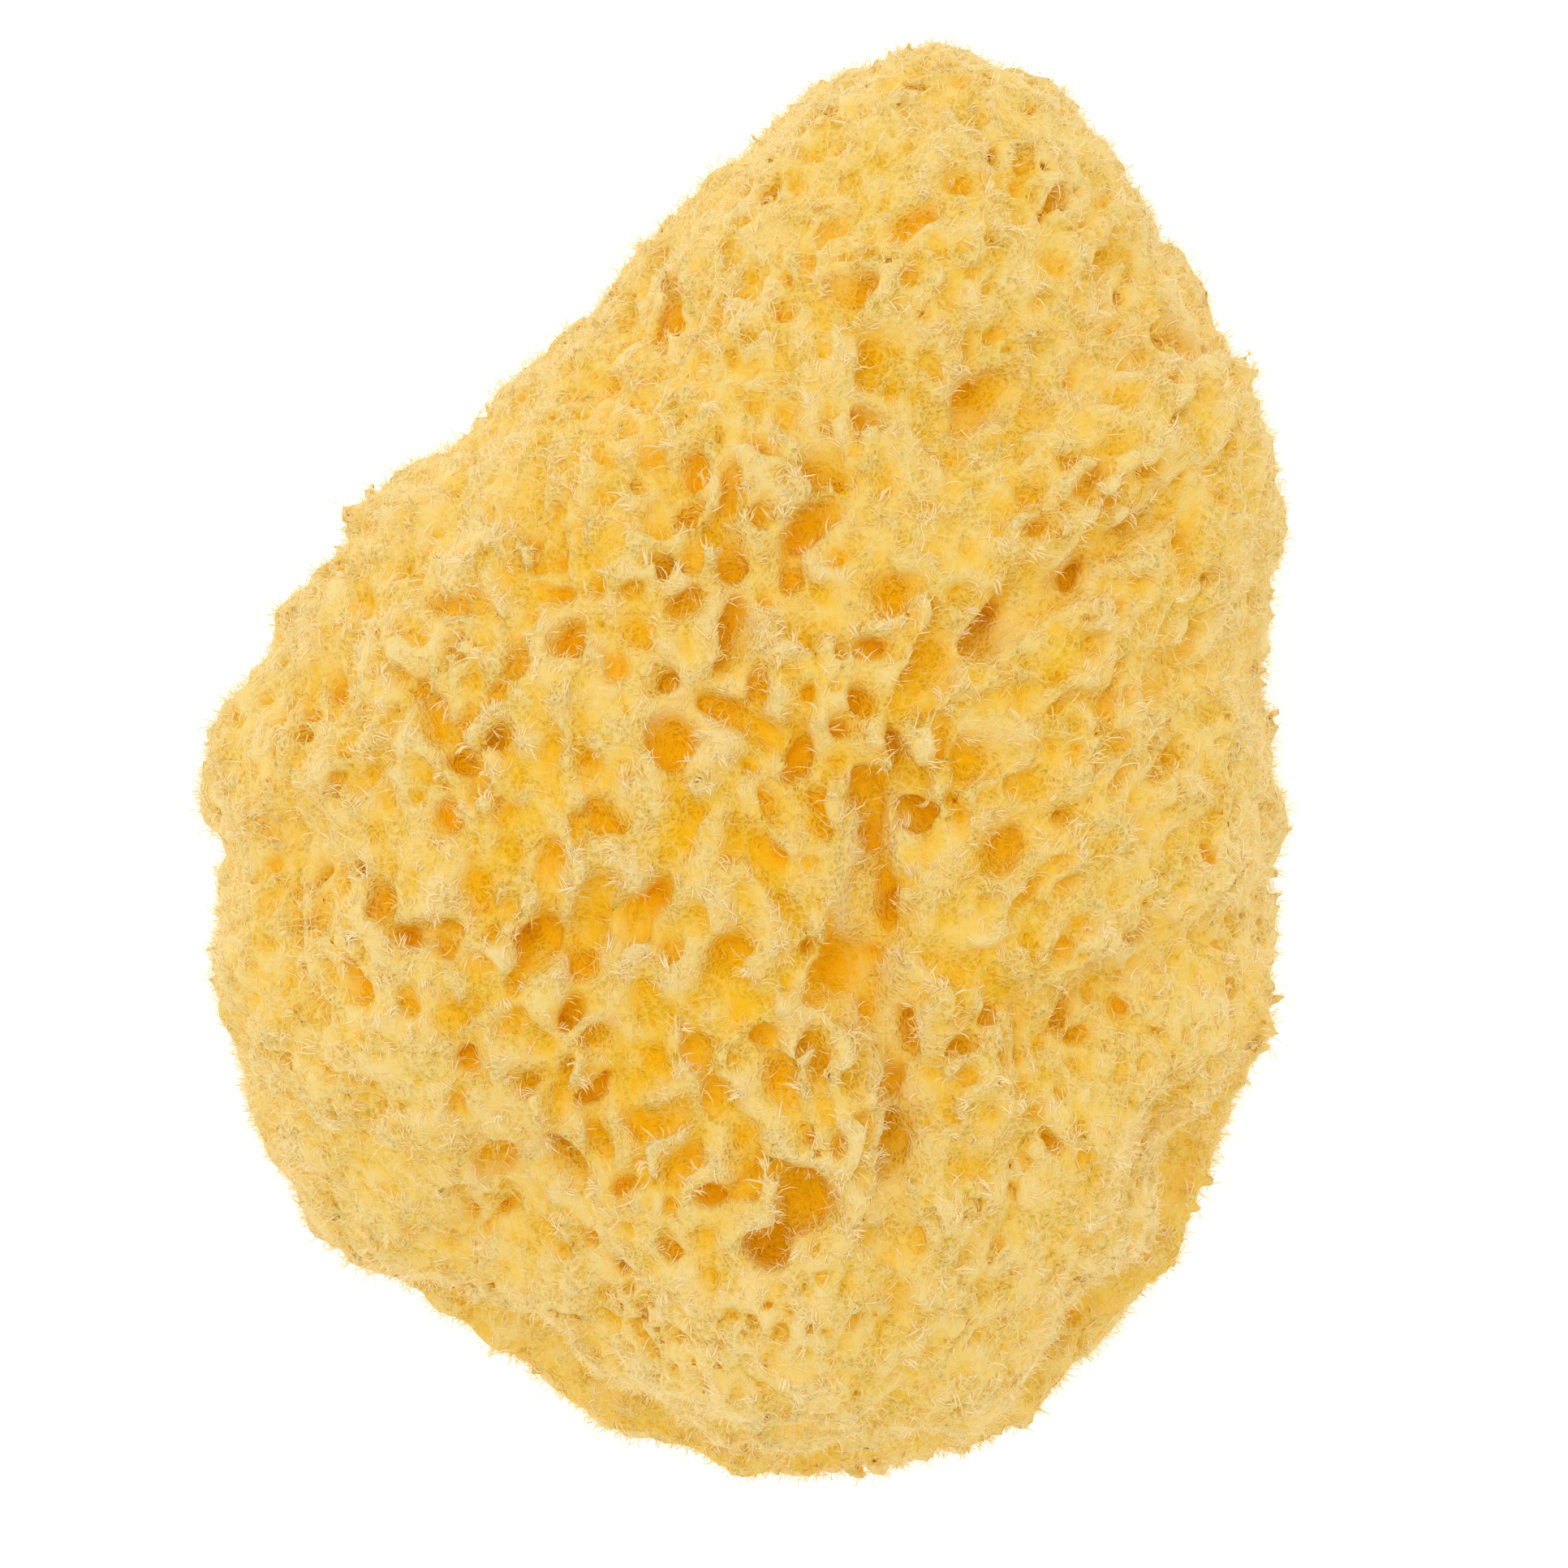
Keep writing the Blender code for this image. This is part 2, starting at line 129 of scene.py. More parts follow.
# The main pores: x, y, radius, stretch, heading of the stretch in degrees, depth
PORES = [
    (4.4, -30.4, 2.4, 1.0, 0, 6.0),
    (1.5, -33.8, 1.8, 1.0, 0, 6.0),
    (2.6, -28.6, 0.7, 1.3, 0, 5.0),
    (-2.0, -29.9, 0.75, 1.9, 0, 4.5),
    (-11.9, -16.0, 1.2, 1.0, 0, 5.5),
    (-9.4, -18.9, 1.1, 1.4, 0, 3.0),
    (-2.5, -19.0, 1.4, 1.1, 90, 4.5),
    (1.8, -21.6, 1.1, 1.3, -60, 4.0),
    (-9.8, -7.8, 1.3, 1.2, 95, 5.0),
    (-9.6, -2.5, 1.2, 1.3, 80, 4.0),
    (-5.0, 2.6, 1.9, 1.1, 0, 5.0),
    (-2.6, 5.0, 1.1, 1.2, 45, 3.5),
    (3.0, 2.4, 0.9, 2.0, 85, 5.5),
    (-6.1, 6.6, 1.1, 1.0, 0, 3.5),
    (-0.6, 10.3, 1.2, 1.6, 80, 4.0),
    (4.5, 17.3, 1.2, 2.0, 35, 4.0),
    (-0.6, 14.8, 1.0, 1.2, 0, 4.0),
    (1.0, 18.8, 1.2, 1.0, 0, 3.0),
    (-1.6, 21.3, 0.9, 1.0, 0, 3.0),
    (5.0, 21.6, 1.0, 1.0, 0, 3.5),
    (8.6, 25.3, 1.1, 1.0, 0, 3.5),
    (9.2, 29.4, 1.3, 1.1, 0, 4.0),
    (8.0, 34.3, 1.2, 1.2, 90, 3.5),
    (3.4, 25.2, 1.0, 1.0, 0, 2.5),
    (16.2, 25.9, 1.5, 1.7, 50, 3.6),
    (20.9, 26.0, 1.3, 1.3, 45, 3.2),
    (25.3, 27.0, 1.3, 2.0, 30, 2.8),
    (16.7, 9.6, 1.3, 2.1, 52, 3.0),
    (22.0, 12.7, 1.2, 2.6, 40, 2.4),
    (26.8, 16.6, 1.1, 2.0, 40, 2.2),
    (24.3, 8.6, 1.1, 1.4, 20, 3.0),
    (20.7, 17.2, 1.2, 1.0, 0, 3.0),
    (9.5, 12.0, 1.3, 1.5, 5, 3.0),
    (9.0, 6.1, 1.0, 1.0, 0, 3.0),
    (11.2, 2.0, 0.9, 2.4, -75, 5.5),
    (16.8, 1.2, 1.2, 1.5, 50, 3.5),
    (20.4, -0.8, 1.1, 1.3, 40, 3.5),
    (18.6, -5.2, 1.3, 1.7, 30, 3.5),
    (11.4, -3.4, 1.2, 1.1, 0, 3.0),
    (9.1, -7.4, 0.8, 2.2, 80, 6.0),
    (2.4, -5.5, 1.0, 1.7, -65, 4.0),
    (3.6, -10.4, 1.1, 2.3, -60, 3.5),
    (8.0, -13.2, 1.6, 1.2, 0, 3.5),
    (14.6, -13.0, 1.4, 1.5, -20, 3.0),
    (10.9, -18.0, 1.0, 1.8, -75, 3.5),
    (15.8, -18.8, 1.1, 1.0, 0, 3.0),
    (10.4, -24.8, 1.1, 1.6, -80, 3.5),
    (15.4, -28.1, 1.2, 1.0, 0, 2.5),
    (-0.5, -0.5, 1.3, 1.3, 60, 3.0),
    (-5.9, -5.0, 1.3, 1.2, 10, 3.0),
    (-14.4, -6.4, 1.4, 1.1, 40, 3.0),
    (-14.5, -11.5, 1.0, 2.4, 75, 4.5),
    (-13.9, -1.2, 1.2, 1.0, 0, 2.5),
    (-10.9, 4.4, 1.1, 1.2, 80, 3.0),
    (-15.9, 8.4, 1.0, 1.8, 75, 3.0),
    (-11.8, 9.9, 1.1, 1.0, 0, 3.5),
    (-4.3, 11.9, 1.1, 1.7, 35, 2.5),
    (-4.4, 18.1, 1.1, 1.0, 0, 3.0),
    (-9.6, 17.6, 1.0, 1.0, 0, 2.5),
    (-23.2, -8.2, 1.2, 1.2, 0, 2.8),
    (-24.0, -11.4, 1.0, 1.0, 0, 2.5),
    (-20.9, -3.4, 1.2, 1.1, 0, 2.8),
    (-23.6, -15.3, 1.0, 1.0, 0, 3.2),
    (-19.1, -19.9, 1.0, 1.4, 85, 3.2),
    (-16.9, -27.8, 1.5, 1.1, -60, 3.2),
    (-12.9, -27.2, 1.4, 1.4, -60, 3.4),
    (15.3, 41.0, 1.2, 1.5, 50, 2.8),
    (11.8, 38.6, 1.1, 1.6, 40, 2.8),
    (21.6, 35.9, 1.2, 1.8, 30, 2.2),
    (31.4, 29.0, 1.5, 1.6, -70, 2.4),
]

# The share of the table's depths that is sunk, and the stretch that keeps its own heading
MAIN_DEPTH = 0.62
OWN_HEADING = 1.25

# How far spread spots are shifted, as a share of the distance from the middle, and the gap
# in millimetres that they keep from the cut
SPOT_SHIFT = 0.006
SPOT_GAP = 0.5

# Pores that fill in between the main ones: sizes in millimetres, depths as a share of the
# radius, and what the closed and the coarse places change
FILL_TRIES = 36000
FILL_RADIUS = (0.45, 0.74)
COARSE_RADIUS = 0.4
CLOSED_RADIUS = 0.35
FILL_WALL = (0.12, 0.45)
CLOSED_WALL = 2.0
FINE_GRAIN_WALL = 0.25
FILL_DEPTH = (1.8, 2.9)
CLOSED_DEPTH = 0.82
GRAIN_DEPTH = (0.58, 0.52)
FILL_STRETCH = (1.1, 0.5, 0.9)
FILL_TURN = (0.5, 0.28)

# Second mouths beside a pore, as shares of its own sizes
TWIN_SHARE = 0.3
TWIN_AWAY = (0.8, 1.4)
TWIN_RADIUS = (0.5, 0.85)
TWIN_TURN = 0.4
TWIN_DEPTH = (0.4, 0.9)

# Finer pores in the walls
FINE_TRIES = 40000
FINE_RADIUS = (0.28, 0.45)
FINE_WALL = 0.4
FINE_DEPTH = 1.1
CLOSED_FINE_DEPTH = 0.7

# Channels in the flat cut
CUT_TRIES = 3000
CUT_HALF_WIDTH = 40
CUT_RADIUS = (0.5, 2.2)
CUT_SMALLER = 2.5
CUT_WALL = 1.1
CUT_RIM = 1.5
CUT_DEPTH = 2.5

# Points raised on the walls, leaning the way the pores open
POINT_TRIES = 30000
POINT_GAP = 1.4
POINT_ROOM = 0.3
POINT_HEIGHT = (0.35, 0.9)
POINT_RADIUS = 0.48
POINT_LEAN = 0.7
POINT_SPREAD = 0.3
POINT_STRETCH = 1.4
POINT_UPPER = (0.8, 0.2)
POINT_COARSE = (0.6, 0.4)
POINT_CLOSED = 0.6
UPPER_FADE = (-0.1, 0.7)
POINT_ROOT = -0.4
POINT_TIP = 0.35

# How round the mouths and the points' feet are, how the plugs run, and how far their cuts reach
LEAST_STRETCH = 1.05
REACH_ACROSS = 1.5
REACH_MARGIN = 1.8
REACH_DEEP = 2.6
PORE_MIDDLE = 0.4
MOUTH_BLEND = 1.25
MOUTH_SHARE = 1.2
POINT_BLEND = 0.7
PLUG_TOP = -3.0
PLUG_TAPER = 0.82
WIDE_BEND = 0.35

# Where the camera's sight lines meet over the sponge, from the middle point
EYE = (2.7, -0.9, 305.0)
SIGHT_ABOVE = 5
SIGHT_STEPS = 400

# Places where the skin is nearly closed, in plan: centre, spreads and share
CLOSED = [
    (-27.0, -27.0, 9.0, 11.0, 1.0),
    (-20.0, 21.0, 6.0, 8.0, 0.75),
    (18.0, -32.0, 12.0, 8.0, 0.75),
    (2.0, -43.0, 24.0, 8.0, 1.0),
    (-14.0, -37.0, 10.0, 7.0, 1.0),
    (33.0, -10.0, 6.0, 16.0, 0.5),
    (15.0, 45.0, 10.0, 6.0, 0.5),
    (-37.0, -6.0, 6.0, 14.0, 0.5),
]

# The coarse part of the honeycomb, in plan: centre and half widths
COARSE_CENTRE = (-3.5, -8.0)
COARSE_REACH = (20.0, 26.0)

# How far the pores lean from straight inwards, in degrees
MAIN_SLANT = (24.0, 34.0)
WIDE_SLANT = 8.0
WIDE_RADIUS = 1.65
FILL_SLANT = (36.0, 56.0)

# Unevenness of the walls, and how far it bends the pores: size, height and seed
CLUMPS = [(2.6, 0.16, 21), (1.3, 0.13, 22), (0.8, 0.08, 23)]
WARPS = [(2.2, 0.35, 31), (1.1, 0.18, 41)]

# The field that the body's mesh is drawn from
CELL = 0.42
FIELD_LOW = (-40.5, -51.5, -20.5)
FIELD_HIGH = (40.5, 52.5, 33.5)
MAX_BODY_TRIANGLES = 196000
CREASE_AGREEMENT = 0.35
CUT_REACH = 0.05
# How open the air is in front of the surface, read to paint shade into pits and crevices: the slope
# step and the steps out
OPEN_SLOPE = 0.3
OPEN_STEPS = (0.5, 1.0, 1.8)

# The body's level, from about 0 on the crests to 1 in the depths, which sets its colour: partly the
# sponge's own colour, partly painted shade in pores and crevices and painted light on crests and
# flanks; shares of what makes it
PORE_SHARE = 0.4
DEPTH_SHARE = 0.2
CREVICE_PAINTED_SHADE = 1.3
FINE_CREST_PAINTED_LIGHT = 1.6
BAND_SHARE = 0.3
LEDGE_PAINTED_LIGHT_SHARE = 1.5
CREST_ROUNDS = 24
FINE_CREST_ROUNDS = 4
EVENING = 0.7
LEVEL_ENDS = (3, 97)
LEVEL_MIDDLE = 0.42
CONTRAST = (0.8, 0.35)
# Painted light: how much paler the flanks that face sideways are made, against the light they lack, and
# over which slopes
FLANK_PAINTED_LIGHT = 0.3
FLANK_FADE = (0.2, 0.75)
LEVEL_LIMITS = (-0.1, 1.3)

# The fibres: counts, levels from root to tip, deeper at the root as painted shade, and how they lie
BUNDLES = 1800
PER_BUNDLE = 6
STRANDS = 16300
FLATTEN = 0.6
ROOT_PAINTED_SHADE = 0.25
TIP_LEVEL = -0.35
DRIFT = 1.2
FELT_TURN = (0.5, 2.0)
TUFT_CREST = (0.1, 0.42)
TUFT_OUT = 0.4
TUFT_DRIFT = 0.8
TUFT_SPREAD = 0.45
TUFT_LENGTH = (0.7, 1.7)
TUFT_TURN = (0.8, 3.0)
TUFT_RADIUS = (0.035, 0.07)
TUFT_PALER = 0.15
STRAND_SPREAD = 0.22
STRAND_SUNK = 0.15
STRAND_ROOM = 0.11
STRAND_BEND = 0.4
STRAND_LENGTH = (0.55, 1.15)
STRAND_TURN = (0.7, 1.3)
FELT_DOWN = 0.6
TIP_RADIUS = 0.65
FLOOR_GAP = 0.02
ROOT_GAP = 0.25

# How many fibres grow on faces that look down, and how steep faces are that the fuzz leaves bare
UNDER_SHARE = (0.3, 0.7)
UNDER_FADE = (-0.5, 0.3)
TOP_BARE_FADE = (0.2, 0.8)

SEED = 5

rng = np.random.default_rng(SEED)


def smoothstep(low, high, value):
    """0 below low, 1 above high, and an easy curve between."""
    t = np.clip((value - low) / (high - low), 0.0, 1.0)
    return t * t * (3 - 2 * t)


def bell(offset, spread):
    """1 at no offset, fading to 0 over a few spreads."""
    return np.exp(-((offset / spread) ** 2))


def unit(vectors):
    """Vectors at length 1."""
    return vectors / np.linalg.norm(vectors, axis=-1, keepdims=True)


def outline_radius(azimuth):
    """The plan outline's distance from the middle, on a curve through its points."""
    count = len(OUTLINE)
    place = (azimuth / (2 * math.pi) % 1.0) * count
    step = place.astype(int)
    t = place - step
    a, b, c, d = (OUTLINE[(step + k) % count] for k in (-1, 0, 1, 2))
    return b + 0.5 * t * (c - a + t * (2 * a - 5 * b + 4 * c - d + t * (3 * (b - c) + d - a)))


def path_distance(x, y, path):
    """Distance in plan from points to a line of straight steps."""
    best = np.full(x.shape, 1e9)
    for (ax, ay), (bx, by) in zip(path, path[1:]):
        dx, dy = bx - ax, by - ay
        t = np.clip(((x - ax) * dx + (y - ay) * dy) / (dx * dx + dy * dy), 0.0, 1.0)
        best = np.minimum(best, np.hypot(x - ax - t * dx, y - ay - t * dy))
    return best


def skin_radius(direction):
    """The skin's distance from the middle point in each direction."""
    azimuth = np.arctan2(direction[..., 1], direction[..., 0])
    flat = np.hypot(direction[..., 0], direction[..., 1])
    rise = direction[..., 2]
    turn = (azimuth - LIP_TOWARDS + math.pi) % (2 * math.pi) - math.pi
    lip = 1.0 - smoothstep(*LIP_FADE, np.abs(turn) / LIP_HALF_WIDTH)
    lip *= 1.0 - LEDGE_NOTCH_SHARE * bell(azimuth - LEDGE_NOTCH, LEDGE_NOTCH_SPREAD)
    above = smoothstep(*LEDGE_RISE, rise)
    groove = bell(rise - GROOVE_RISE, GROOVE_SPREAD)
    plan = outline_radius(azimuth) - lip * (LIP_INSET * above + LIP_GROOVE * groove)
    half_height = np.where(rise > 0, RISE, DROP)
    reach = (flat / plan) ** ROUNDNESS + (np.abs(rise) / half_height) ** ROUNDNESS
    radius = reach ** (-1 / ROUNDNESS)
    point = direction * radius[..., None]
    x, y = point[..., 0], point[..., 1]
    height = np.zeros(x.shape)
    for cx, cy, spread, lift in LUMPS:
        height += lift * np.exp(-((x - cx) ** 2 + (y - cy) ** 2) / (2 * spread**2))
    for width, depth, path in FURROWS:
        height -= depth * bell(path_distance(x, y, path), width)
    flat_points = point.reshape(-1, 3)
    swell = [noise.noise(Vector(p / SWELL_SIZE)) for p in flat_points]
    knob = [KNOB_LEVEL - noise.voronoi(Vector(p / KNOB_SIZE))[0][0] for p in flat_points]
    top = smoothstep(*TOP_FADE, point[..., 2] / RISE)
    swell = SWELL * np.array(swell).reshape(radius.shape)
    knob = KNOB * np.array(knob).reshape(radius.shape) * (SIDE_KNOB + (1 - SIDE_KNOB) * top)
    return radius + top * height + swell + knob


azimuths = np.arange(TABLE_AZIMUTHS) * (2 * math.pi / TABLE_AZIMUTHS)
tilts = (np.arange(TABLE_TILTS + 1) / TABLE_TILTS - 0.5) * math.pi
table_tilt, table_azimuth = np.meshgrid(tilts, azimuths, indexing="ij")
table_direction = np.stack(
    [
        np.cos(table_tilt) * np.cos(table_azimuth),
        np.cos(table_tilt) * np.sin(table_azimuth),
        np.sin(table_tilt),
    ],
    axis=-1,
)
skin_table = skin_radius(table_direction) - SKIN_INSET
skin_table[0] = skin_table[0].mean()
skin_table[-1] = skin_table[-1].mean()


def skin(direction):
    """The skin's distance from the middle in a direction, read from the table."""
    tilt = np.arcsin(np.clip(direction[..., 2], -1, 1))
    azimuth = np.arctan2(direction[..., 1], direction[..., 0]) % (2 * math.pi)
    row = (tilt / math.pi + 0.5) * TABLE_TILTS
    column = azimuth / (2 * math.pi) * TABLE_AZIMUTHS
    r0 = np.clip(row.astype(int), 0, TABLE_TILTS - 1)
    c0 = column.astype(int) % TABLE_AZIMUTHS
    c1 = (c0 + 1) % TABLE_AZIMUTHS
    rf, cf = row - r0, column - np.floor(column)
    low = skin_table[r0, c0] * (1 - cf) + skin_table[r0, c1] * cf
    high = skin_table[r0 + 1, c0] * (1 - cf) + skin_table[r0 + 1, c1] * cf
    return low * (1 - rf) + high * rf


def skin_depth(points):
    """How far points lie below the skin, towards the middle point."""
    length = np.linalg.norm(points, axis=-1)
    return skin(points / np.maximum(length, 1e-6)[..., None]) - length


def skin_normal(points):
    """The skin's outward direction at points, from its slope."""
    slope = np.empty(points.shape)
    for axis in range(3):
        offset = np.zeros(3)
        offset[axis] = NORMAL_STEP
        slope[..., axis] = skin_depth(points - offset) - skin_depth(points + offset)
    return unit(slope)


def right_share(points):
    """1 at the right of the sponge, where the pores lie aslant."""
    return smoothstep(*RIGHT_X, points[:, 0]) * smoothstep(*RIGHT_Y, points[:, 1])


def open_heading(points):
    """Where pores open to in plan: up the sponge at the left, aslant at the right."""
    left = smoothstep(*LEFT_X, -points[:, 0])
    return np.radians(UP_HEADING + LEFT_TURN * left - RIGHT_TURN * right_share(points))


def along_skin(points, heading):
    """The direction along the skin that runs with a heading in plan."""
    flat = np.stack([np.cos(heading), np.sin(heading), np.zeros(len(heading))], axis=-1)
    normal = skin_normal(points)
    flat = flat - normal * (flat * normal).sum(1, keepdims=True)
    length = np.linalg.norm(flat, axis=1, keepdims=True)
    return flat / np.maximum(length, LEAST_SLOPE), normal


def coarse_share(points):
    """1 where the honeycomb is coarse, near 0 where it is fine."""
    x = (points[:, 0] - COARSE_CENTRE[0]) / COARSE_REACH[0]
    y = (points[:, 1] - COARSE_CENTRE[1]) / COARSE_REACH[1]
    return np.exp(-x * x - y * y)


def ledge_place(points):
    """1 along the middle of the ledge, 0 past its ends, and how points rise from the middle."""
    azimuth = np.arctan2(points[:, 1], points[:, 0])
    rise = points[:, 2] / np.linalg.norm(points, axis=1)
    turn = (azimuth - LIP_TOWARDS + math.pi) % (2 * math.pi) - math.pi
    return 1.0 - smoothstep(*BAND_FADE, np.abs(turn) / LIP_HALF_WIDTH), rise


def ledge_band(points):
    """1 over the smooth rim that sticks out under the ledge."""
    along, rise = ledge_place(points)
    return along * smoothstep(*BAND_FOOT, rise) * (1 - smoothstep(*BAND_TOP, rise))


def ledge_painted_light(points):
    """Painted light on the ledge: a pale painted highlight along its fold and golden painted shade in
    the crease under it.
    """
    along, rise = ledge_place(points)
    fold, crease = (bell(rise - line, PAINTED_LINE_SPREAD) for line in (FOLD_RISE, CREASE_RISE))
    return along * (CREASE_PAINTED_SHADE * crease - FOLD_PAINTED_HIGHLIGHT * fold)


def skin_above(x, y):
    """The skin's upper point on the sight line to a place in plan at the widest level."""
    heights = np.linspace(RISE + SIGHT_ABOVE, 0, SIGHT_STEPS)
    share = heights / EYE[2]
    sight = (x + (EYE[0] - x) * share, y + (EYE[1] - y) * share)
    points = np.stack([*sight, heights], axis=-1)
    inside = np.nonzero(skin_depth(points) > 0)[0]
    if len(inside):
        return points[inside[0]]
    direction = np.array([x, y, 0.0]) / math.hypot(x, y)
    return direction * skin(direction)


def spiral_points(count):
    """Points spread evenly over all directions, in shuffled order, set on the skin."""
    step = np.arange(count)
    rise = 1 - 2 * (step + 0.5) / count
    azimuth = step * math.pi * (3 - math.sqrt(5))
    flat = np.sqrt(1 - rise * rise)
    direction = np.stack([flat * np.cos(azimuth), flat * np.sin(azimuth), rise], axis=-1)
    direction = unit(direction + rng.normal(0, SPOT_SHIFT, direction.shape))
    rng.shuffle(direction)
    points = direction * skin(direction)[:, None]
    return points[points[:, 2] > -MIDDLE[2] + SPOT_GAP]


def main_pores():
    """The pores the table places: mouth, radius, stretch, heading, depth, slant."""
    mouth = np.array([skin_above(x, y) for x, y, *_ in PORES])
    radius, stretch, heading, depth = np.array([row[2:] for row in PORES]).T
    opens = open_heading(mouth)
    heading = np.where(stretch > OWN_HEADING, np.radians(heading), opens)
    heading = np.where(np.cos(heading - opens) < 0, heading + math.pi, heading)
    slant = rng.uniform(*MAIN_SLANT, len(mouth))
    slant = np.where(radius > WIDE_RADIUS, WIDE_SLANT, slant)
    return [mouth, radius, stretch, heading, depth * MAIN_DEPTH, slant]


def thin_out(candidates, radii, walls, placed, placed_radii):
    """Keeps each candidate that leaves a wall to all that are placed before it."""
    spots = np.empty((len(placed) + len(candidates), 3))
    sizes = np.empty(len(spots))
    count = len(placed)
    spots[:count], sizes[:count] = placed, placed_radii
    kept = []
    for index, (point, radius, wall) in enumerate(zip(candidates, radii, walls)):
        gap = np.linalg.norm(spots[:count] - point, axis=1) - sizes[:count]
        if count == 0 or gap.min() > radius + wall:
            spots[count], sizes[count] = point, radius
            count += 1
            kept.append(index)
    return np.array(kept, dtype=int)


def stretch_at(points):
    """How stretched pores are, and where to: round at the left, grooves at the right."""
    right = smoothstep(*GROOVED_X, points[:, 0]) * smoothstep(*GROOVED_Y, points[:, 1])
    least, spread, more = FILL_STRETCH
    stretch = least + rng.random(len(points)) * (spread + more * right)
    turn, steadier = FILL_TURN
    heading = open_heading(points) + rng.normal(0, 1, len(points)) * (turn - steadier * right)
    return stretch, heading


def smooth_flank(points):
    """How nearly closed the skin is, up to 1, over the smooth places and the ledge's band."""
    x, y = points[:, 0], points[:, 1]
    most = ledge_band(points)
    for cx, cy, wide, tall, share in CLOSED:
        spot = share * np.exp(-(((x - cx) / wide) ** 2) - ((y - cy) / tall) ** 2)
        most = np.maximum(most, spot)
    return most


def fill_pores(mouth, radius, stretch):
    """Pores that fill in between the main ones."""
    spots = spiral_points(FILL_TRIES)
    closed = smooth_flank(spots)
    coarse = coarse_share(spots)
    sizes = rng.uniform(*FILL_RADIUS, len(spots)) + COARSE_RADIUS * coarse
    sizes *= 1 - CLOSED_RADIUS * closed
    walls = rng.uniform(*FILL_WALL, len(spots)) + CLOSED_WALL * closed
    walls += FINE_GRAIN_WALL * (1 - coarse)
    kept = thin_out(spots, sizes, walls, mouth, radius * np.sqrt(stretch))
    spots, sizes, closed, coarse = spots[kept], sizes[kept], closed[kept], coarse[kept]
    stretches, headings = stretch_at(spots)
    depths = sizes * rng.uniform(*FILL_DEPTH, len(spots))
    depths *= (1 - CLOSED_DEPTH * closed) * (GRAIN_DEPTH[0] + GRAIN_DEPTH[1] * coarse)
    return [spots, sizes, stretches, headings, depths, rng.uniform(*FILL_SLANT, len(spots))]


def twin_pores(mouth, radius, stretch, heading, depth, slant):
    """Second mouths beside some of the pores."""
    twin = np.nonzero((rng.random(len(mouth)) < TWIN_SHARE) & (radius < WIDE_RADIUS))[0]
    count = len(twin)
    aside = rng.normal(0, 1, (count, 3))
    normal = skin_normal(mouth[twin])
    aside = unit(aside - normal * (aside * normal).sum(1, keepdims=True))
    away = radius[twin] * rng.uniform(*TWIN_AWAY, count)
    return [
        mouth[twin] + aside * away[:, None],
        radius[twin] * rng.uniform(*TWIN_RADIUS, count),
        stretch[twin],
        heading[twin] + rng.normal(0, TWIN_TURN, count),
        depth[twin] * rng.uniform(*TWIN_DEPTH, count),
        slant[twin],
    ]


def fine_pores(mouth, radius):
    """Finer pores in the walls that are left."""
    spots = spiral_points(FINE_TRIES)
    sizes = rng.uniform(*FINE_RADIUS, len(spots))
    kept = thin_out(spots, sizes, np.full(len(spots), FINE_WALL), mouth, radius)
    spots, sizes = spots[kept], sizes[kept]
    stretches, headings = stretch_at(spots)
    depths = sizes * FINE_DEPTH * (1 - CLOSED_FINE_DEPTH * smooth_flank(spots))
    return [spots, sizes, stretches, headings, depths, rng.uniform(*FILL_SLANT, len(spots))]


def joined(pores, more):
    """Two sets of pores as one."""
    return [np.concatenate(pair) for pair in zip(pores, more)]


def all_pores():
    """Every pore as arrays, ready to sink, and how many of them are coarse."""
    pores = main_pores()
    pores = joined(pores, fill_pores(*pores[:3]))
    pores = joined(pores, twin_pores(*pores))
    coarse_count = len(pores[0])
    pores = joined(pores, fine_pores(*pores[:2]))
    mouth, radius, stretch, heading, depth, slant = pores
    opening, normal = along_skin(mouth, heading)
    lean = np.radians(slant)[:, None]
    inward = -unit(np.cos(lean) * normal + np.sin(lean) * opening)
    along = unit(opening - inward * (opening * inward).sum(1, keepdims=True))
    return mouth, inward, along, radius, stretch, depth, coarse_count


def cut_pores():
    """Channels that open in the flat cut: mouths and radii."""
    spread = rng.random((CUT_TRIES, 2)) * (2 * CUT_HALF_WIDTH) - CUT_HALF_WIDTH
    spots = np.column_stack([spread, np.full(CUT_TRIES, -MIDDLE[2])])
    spots = spots[skin_depth(spots) > CUT_RIM]
    share = rng.random(len(spots)) ** CUT_SMALLER
    sizes = CUT_RADIUS[0] + (CUT_RADIUS[1] - CUT_RADIUS[0]) * share
    kept = thin_out(spots, sizes, np.full(len(spots), CUT_WALL), np.empty((0, 3)), np.empty(0))
    return spots[kept], sizes[kept]


def smooth_join(field, other, blend):
    """Adds another solid to the field with a rounded foot."""
    near = np.maximum(blend - np.abs(field - other), 0.0) / blend
    return np.minimum(field, other) - near * near * blend * 0.25


def smooth_cut(field, cutter, blend):
    """Takes the cutter from the field with a rounded mouth."""
    return -smooth_join(-field, cutter, blend)


def capsule(points, start, axis, along, radius, stretch, low, high, end_share):
    """Distance to a rounded, tapered and maybe flattened plug."""
    offset = points - start
    deep = offset @ axis
    side = offset - deep[..., None] * axis
    if stretch > LEAST_STRETCH:
        lengthwise = side @ along
        squeeze = lengthwise * (1 / stretch - 1)
        side = side + squeeze[..., None] * along
    rest = np.clip(deep, low, high)
    share = np.clip((rest - low) / max(high - low, 1e-6), 0, 1)
    size = radius * (1 + (end_share - 1) * share)
    return np.sqrt((side * side).sum(-1) + (deep - rest) ** 2) - size


